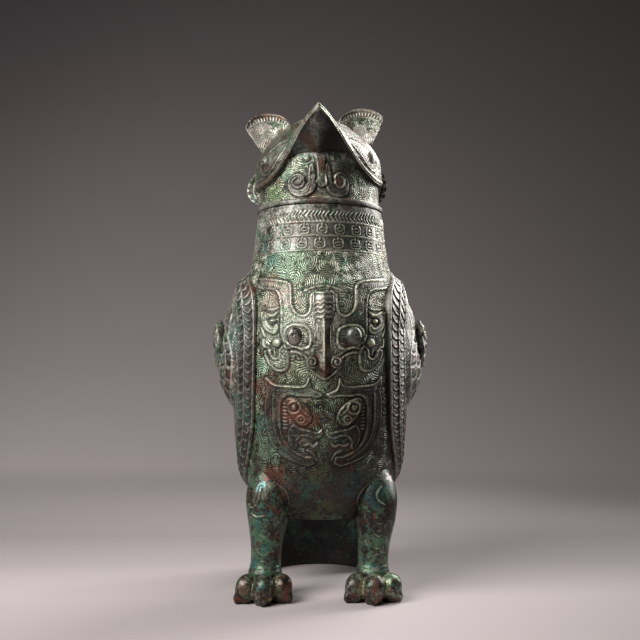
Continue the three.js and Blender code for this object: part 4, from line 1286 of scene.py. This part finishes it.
rim_reach = [(0, 90), (12, 69.2), (25, 59.5), (44, 58), (180, 57.5)]
rim_lift = [(0, 413), (12, 401.7), (25, 386.05), (42, 368), (62, 361), (95, 364), (180, 364)]
hood_top = 428
hood_radius = 57
upright_share = 0.15
lining_radius = 52
lining_height = 43
lip_face, lip_end = 0.03, 0.12
eye_leaf = [
    (0.54, 397), (0.61, 386), (0.73, 376.5), (0.91, 368.5), (1.06, 372), (1.08, 381), (0.93, 389),
    (0.72, 396),
]
hood_turns = steps(-math.pi, (-1.5, 36), (-0.12, 80), (0.12, 18), (1.5, 80), (math.pi, 36))
# These rows lie under the rim: down to 1 along the underside, and on to 2 inside, up to the lining's top.
under_rows = (2.0, 1.85, 1.7, 1.5, 1.35, 1.22, 1.1, 1.0, 0.8, 0.6, 0.4, 0.25, 0.16, 0.12, 0.1, 0.075, 0.05,
              0.035, 0.03, 0.02, 0.01)
hood_rows = [-share for share in under_rows] + steps(0.0, (upright_share, 34), (0.985, 74)) + [1.0]


def hood_sheet(angle, share):
    """The cap's radius and height, at a share of the way from the rim to the top."""
    turn_degrees = np.degrees(np.abs(angle))
    bend = dome_point + 0.25 * (1 - smooth_step(turn_degrees, 0, 40))
    low, reach = along(rim_lift, turn_degrees), along(rim_reach, turn_degrees)
    spring = np.maximum(low, dome_base)
    upright = np.clip(share / upright_share, 0, 1)
    turn = np.clip(share - upright_share, 0, 1) / (1 - upright_share) * math.pi / 2
    radius = reach * np.maximum(np.cos(turn), 0) ** bend
    return radius, low + (spring - low) * upright + (hood_top - spring) * np.sin(turn) ** bend, low, reach


def hood_underside(angle, inward, low, reach):
    """The radius and height under the rim: a lip, the underside of the beak with its keel, and the lining."""
    inner = np.minimum(384, low - 0.5) - 2
    keel = np.exp(-np.abs(angle) / 0.1) * 7.0
    t = np.clip(inward, 0, 1)
    radius = reach + (lining_radius - reach) * t
    height = low + (inner - low) * t - keel * np.clip(np.sin(t * math.pi), 0, 1) ** 0.8
    fold = np.clip((t - lip_face) / (lip_end - lip_face), 0, 1)
    drop = 0.9 + 2.1 * smooth_step(np.degrees(np.abs(angle)), 40, 6)
    meets = (inner - low) * lip_end - keel * math.sin(lip_end * math.pi) ** 0.8
    lip = low - drop * np.clip(t / lip_face, 0, 1) + (meets + drop) * fold
    radius = np.where(t < lip_end, reach + (lining_radius - reach) * lip_end * fold, radius)
    height = np.where(t < lip_end, lip, height)
    closing = np.clip(inward - 1, 0, 1) * math.pi / 2
    climb = dome_base + lining_height * np.sin(closing) ** dome_point - inner
    climb = climb * np.clip(closing / 0.35, 0, 1)
    radius = np.where(inward > 1, lining_radius * np.clip(np.cos(closing), 0, 1) ** dome_point, radius)
    return radius, np.where(inward > 1, inner + climb, height)


def hood_place(angle, share):
    over = share >= 0
    radius, z, low, reach = hood_sheet(angle, np.clip(share, 0, 1))
    down = np.hypot(radius - reach, z - low)
    plain = np.maximum(smooth_step(down, 9, 7), 1 - over)
    carving = Carving(np.where(over, angle * hood_radius, far_off), z, plain)
    rim = hump_at(down, 1.4, 1.5) * over
    beads = line_at(down, 4.9, 1.0) * over * (np.abs(angle) > 0.14)
    count = np.cos(2 * math.pi * (z * 0.9 + np.abs(angle) * 20) / 2.6)
    rise = np.sqrt(rim) + 0.35 * beads * count + 0.3 * line_at(down, 6.6, 0.5) * over
    worn = np.max([rim**2 * 0.7, beads * count, line_at(down, 6.6, 0.4) * over * 0.5], 0)
    carving.mark(rise, worn, np.maximum(line_at(down, 3.3, 0.6) * over, -beads * count))
    for side in (-1, 1):
        carving.ridge([(side * turn * hood_radius, up) for turn, up in eye_leaf], 1.3, 0.7, closed=True)
    back = (np.abs(angle) > 1.9) & over
    plumes = np.cos(angle * 11)
    carving.mark(0.25 * plumes * back * (share < 1), np.clip(plumes * 2 - 1.1, 0, 0.7) * back)
    inward = np.clip(-share, 0, 2)
    # Painted light on the beak: its lip is painted pale as a highlight and the underside behind it dark as
    # shade, both more on the right.
    right = smooth_step(angle, -0.1, 0.1)
    lip = smooth_step(inward, 0.0, 0.01) * smooth_step(inward, 0.06, 0.035)
    carving.mark(crest=lip * (0.6 + 0.4 * right), cut=smooth_step(inward, 0.035, 0.1) * (0.55 + 0.4 * right))
    upright = np.clip(1 - np.clip(share - upright_share, 0, 1) / (1 - upright_share), 0, 1)
    under_radius, under_height = hood_underside(angle, inward, low, reach)
    radius = np.where(over, radius + carving.rise * upright, under_radius)
    z = np.where(over, z + carving.rise * (1 - upright), under_height)
    return tilted(radius * np.sin(angle), -radius * np.cos(angle), z), (angle * hood_radius + 80, z), carving


hood = shaped("hood_and_beak", hood_turns, hood_rows, hood_place)
# The pale patches on the right are painted highlights, the sheen of the right plane, and so is the pale one
# at the beak's tip; the rest are corrosion.
hood_stains_and_painted_light = [
    (-44, -32, 388, 44, (0.070, 0.062, 0.050), 1.0), (-52, -20, 368, 12, azurite, 0.8),
    (-26, -58, 392, 16, (0.2, 0.26, 0.2), 0.6), (30, -46, 392, 30, (0.43, 0.40, 0.37), 0.9),
    (44, -30, 378, 26, (0.460, 0.430, 0.400), 0.85), (-14, -60, 392, 16, cuprite, 0.8),
    (-30, -26, 402, 18, cuprite, 0.6), (12, -60, 388, 16, (0.085, 0.026, 0.018), 0.9),
    (0, -80, 410, 8, painted_highlight_skin, 0.5), (-14, -66, 398, 9, (0.050, 0.110, 0.100), 0.9),
    (-9, -58, 386, 10, (0.200, 0.110, 0.050), 0.8), (34, -46, 384, 28, (0.500, 0.465, 0.430), 1.0),
]
hood.data.materials.append(bronze("hood_bronze", hood_stains_and_painted_light, 0.6, rust=0.8, spirals=(12.0, 1.5)))
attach(hood, "head")
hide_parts("beak_hood")


# The eyes of the head. Low bosses in the leaf-shaped sockets on both cheeks, cast with the hood.
# The left one keeps the pit of its pupil, and the right one is worn flat.

# The pale patch on the right eye is a painted highlight, the sheen of the right cheek; the blue green on the
# left is corrosion.
head_eye_stains_and_painted_light = [(-48, -34, 377, 10, azurite, 0.8), (44, -34, 383, 26, (0.42, 0.39, 0.36), 1.0)]
head_eye_bronze = bronze("head_eye_bronze", head_eye_stains_and_painted_light)
for side, name, stands_out, carve in ((-1, "left", 4.6, pupil), (1, "right", 3.2, None)):
    swing = math.radians(55) * side
    centre = (56.5 * math.sin(swing), -56.5 * math.cos(swing), 380)
    eye = knob("head_eye_" + name, centre, (6.0, stands_out, 6.0), swing, carve, 64, 40, tilted)
    eye.data.materials.append(head_eye_bronze)
    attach(eye, "head")
    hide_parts("eye_" + name)


# The horns. Cupped fan plates of bronze with a rolled edge, a ladder of small bars inside it and fine
# spirals below. They were cast on at both sides of the hood's top.

horn_root = 396
horn_height = 40
horn_rows = [0.0] + steps(0.0, (1.0, 70)) + [1.0]


def horn_place(side):
    def place(column, share):
        u, face = column.T
        corner = 0.14 if side < 0 else 0.1
        crown = horn_height * (1 - (0.2 * u * u + corner * u**6) * share)
        half = 9 + 11.5 * np.sin(share * math.pi / 2)
        front = face > 0.99
        across, up = half * u, crown * share
        edge = crown * (1 - share) * 0.96
        inside = smooth_step(half * (1 - np.abs(u)), 0.4, 2.4)
        on = front * inside
        carving = Carving(across, up, plain=np.maximum(smooth_step(edge, 9.5, 8.5), 1 - front))
        rim = hump_at(edge, 1.4, 1.5) * front
        ladder = line_at(edge, 5.4, 1.5) * on
        bars = np.cos(2 * math.pi * (np.arctan2(across, up - 14) * 24) / 3.2)
        rise = 0.7 * np.sqrt(rim) * inside + 0.4 * ladder * bars + 0.4 * line_at(edge, 8.0, 0.5) * on
        worn = np.max([rim**3 * 0.3, ladder * bars * 0.7, line_at(edge, 8.0, 0.4) * on * 0.6], 0)
        carving.mark(rise, worn, np.maximum(line_at(edge, 3.4, 0.4) * on * 0.5, -ladder * bars * 0.6))
        rear = face < 0.01
        carving.rise -= 0.3 * np.cos(2 * math.pi * across / 5.0) * rear
        z = horn_root + up
        dome = np.sqrt(1 - np.clip((z - dome_base) / lining_height, 0, 1) ** (2 / dome_point)) ** dome_point
        x = np.maximum(40 + 3 * share + across, lining_radius * dome)
        y = 9 * share - 1.7 - 6 * share * u * u + 5 * (1 - 0.3 * share) * (1 - face)
        return tilted(side * x, y - carving.rise * (front | rear), z), (across, up), carving

    return place


horn_stains = {
    "left": [
        (-50, 6, 434, 12, (0.24, 0.11, 0.07), 1.0), (-34, 6, 430, 12, (0.22, 0.10, 0.06), 1.0),
        (-56, 2, 414, 24, (0.52, 0.48, 0.43), 1.0), (-44, 2, 402, 12, cuprite, 0.7),
    ],
    "right": [
        (46, 6, 436, 18, (0.24, 0.17, 0.14), 0.7), (42, 0, 414, 24, (0.60, 0.56, 0.51), 1.0),
        (54, 6, 434, 8, (0.28, 0.26, 0.10), 0.6),
    ],
}
for side, name in ((-1, "left"), (1, "right")):
    horn = shaped("horn_fan_" + name, loop(70, 3, 40), horn_rows, horn_place(side))
    horn_bronze = bronze("horn_bronze_" + name, horn_stains[name], 0.5, spirals=(12.0, 1.5), rust=0.6)
    horn.data.materials.append(horn_bronze)
    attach(horn, "head")
    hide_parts("horn_" + name)


# The ears. Cupped half discs of bronze behind the cheeks, with a beaded edge and a raised line inside it.
# They stand out from the throat, on which they were cast.

ear_height = 369.5
ear_half = 17
ear_reach = 20.5


def ear_place(side):
    def place(column, level):
        u, face = column.T
        share = (u + 1) / 2
        reach = ear_reach * np.sqrt(np.maximum(1 - level * level * 0.94, 0))
        out = throat_radius + reach * share
        front = face > 0.99
        edge = reach * (1 - share)
        carving = Carving(out, level, plain=1)
        beads = line_at(edge, 2.0, 1.3) * front
        count = np.cos(np.arctan2(ear_half * level, out - 52) * 21)
        line = line_at(edge, 6.4, 0.8) * front
        cut = np.maximum(-beads * count, line_at(edge, 4.4, 0.6) * front)
        worn = np.maximum(beads * np.clip(0.4 + count, 0, 1), line)
        carving.mark(beads * (0.5 + 0.35 * count) + 0.6 * line, worn, cut)
        y = 4.5 * (1 - face) - 5 * share * share + 0.2 - carving.rise * front
        swing = math.radians(30)
        x, y = out * math.cos(swing) - y * math.sin(swing), out * math.sin(swing) + y * math.cos(swing)
        return tilted(side * x, y, ear_height + ear_half * level), (out, level * ear_half), carving

    return place


# The pale patch on the right ear is a painted highlight; the green on the left one is corrosion.
ear_bronze = bronze("ear_bronze", [(-60, 30, 362, 14, malachite, 0.7), (58, 30, 372, 14, painted_highlight_skin, 0.5)])
ear_rows = [-1.0] + list(np.sin(np.linspace(-math.pi / 2, math.pi / 2, 70))) + [1.0]
for side, name in ((-1, "left"), (1, "right")):
    ear = shaped("ear_disc_" + name, loop(40, 3, 20), ear_rows, ear_place(side))
    ear.data.materials.append(ear_bronze)
    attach(ear, "head")
    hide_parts("ear_" + name)
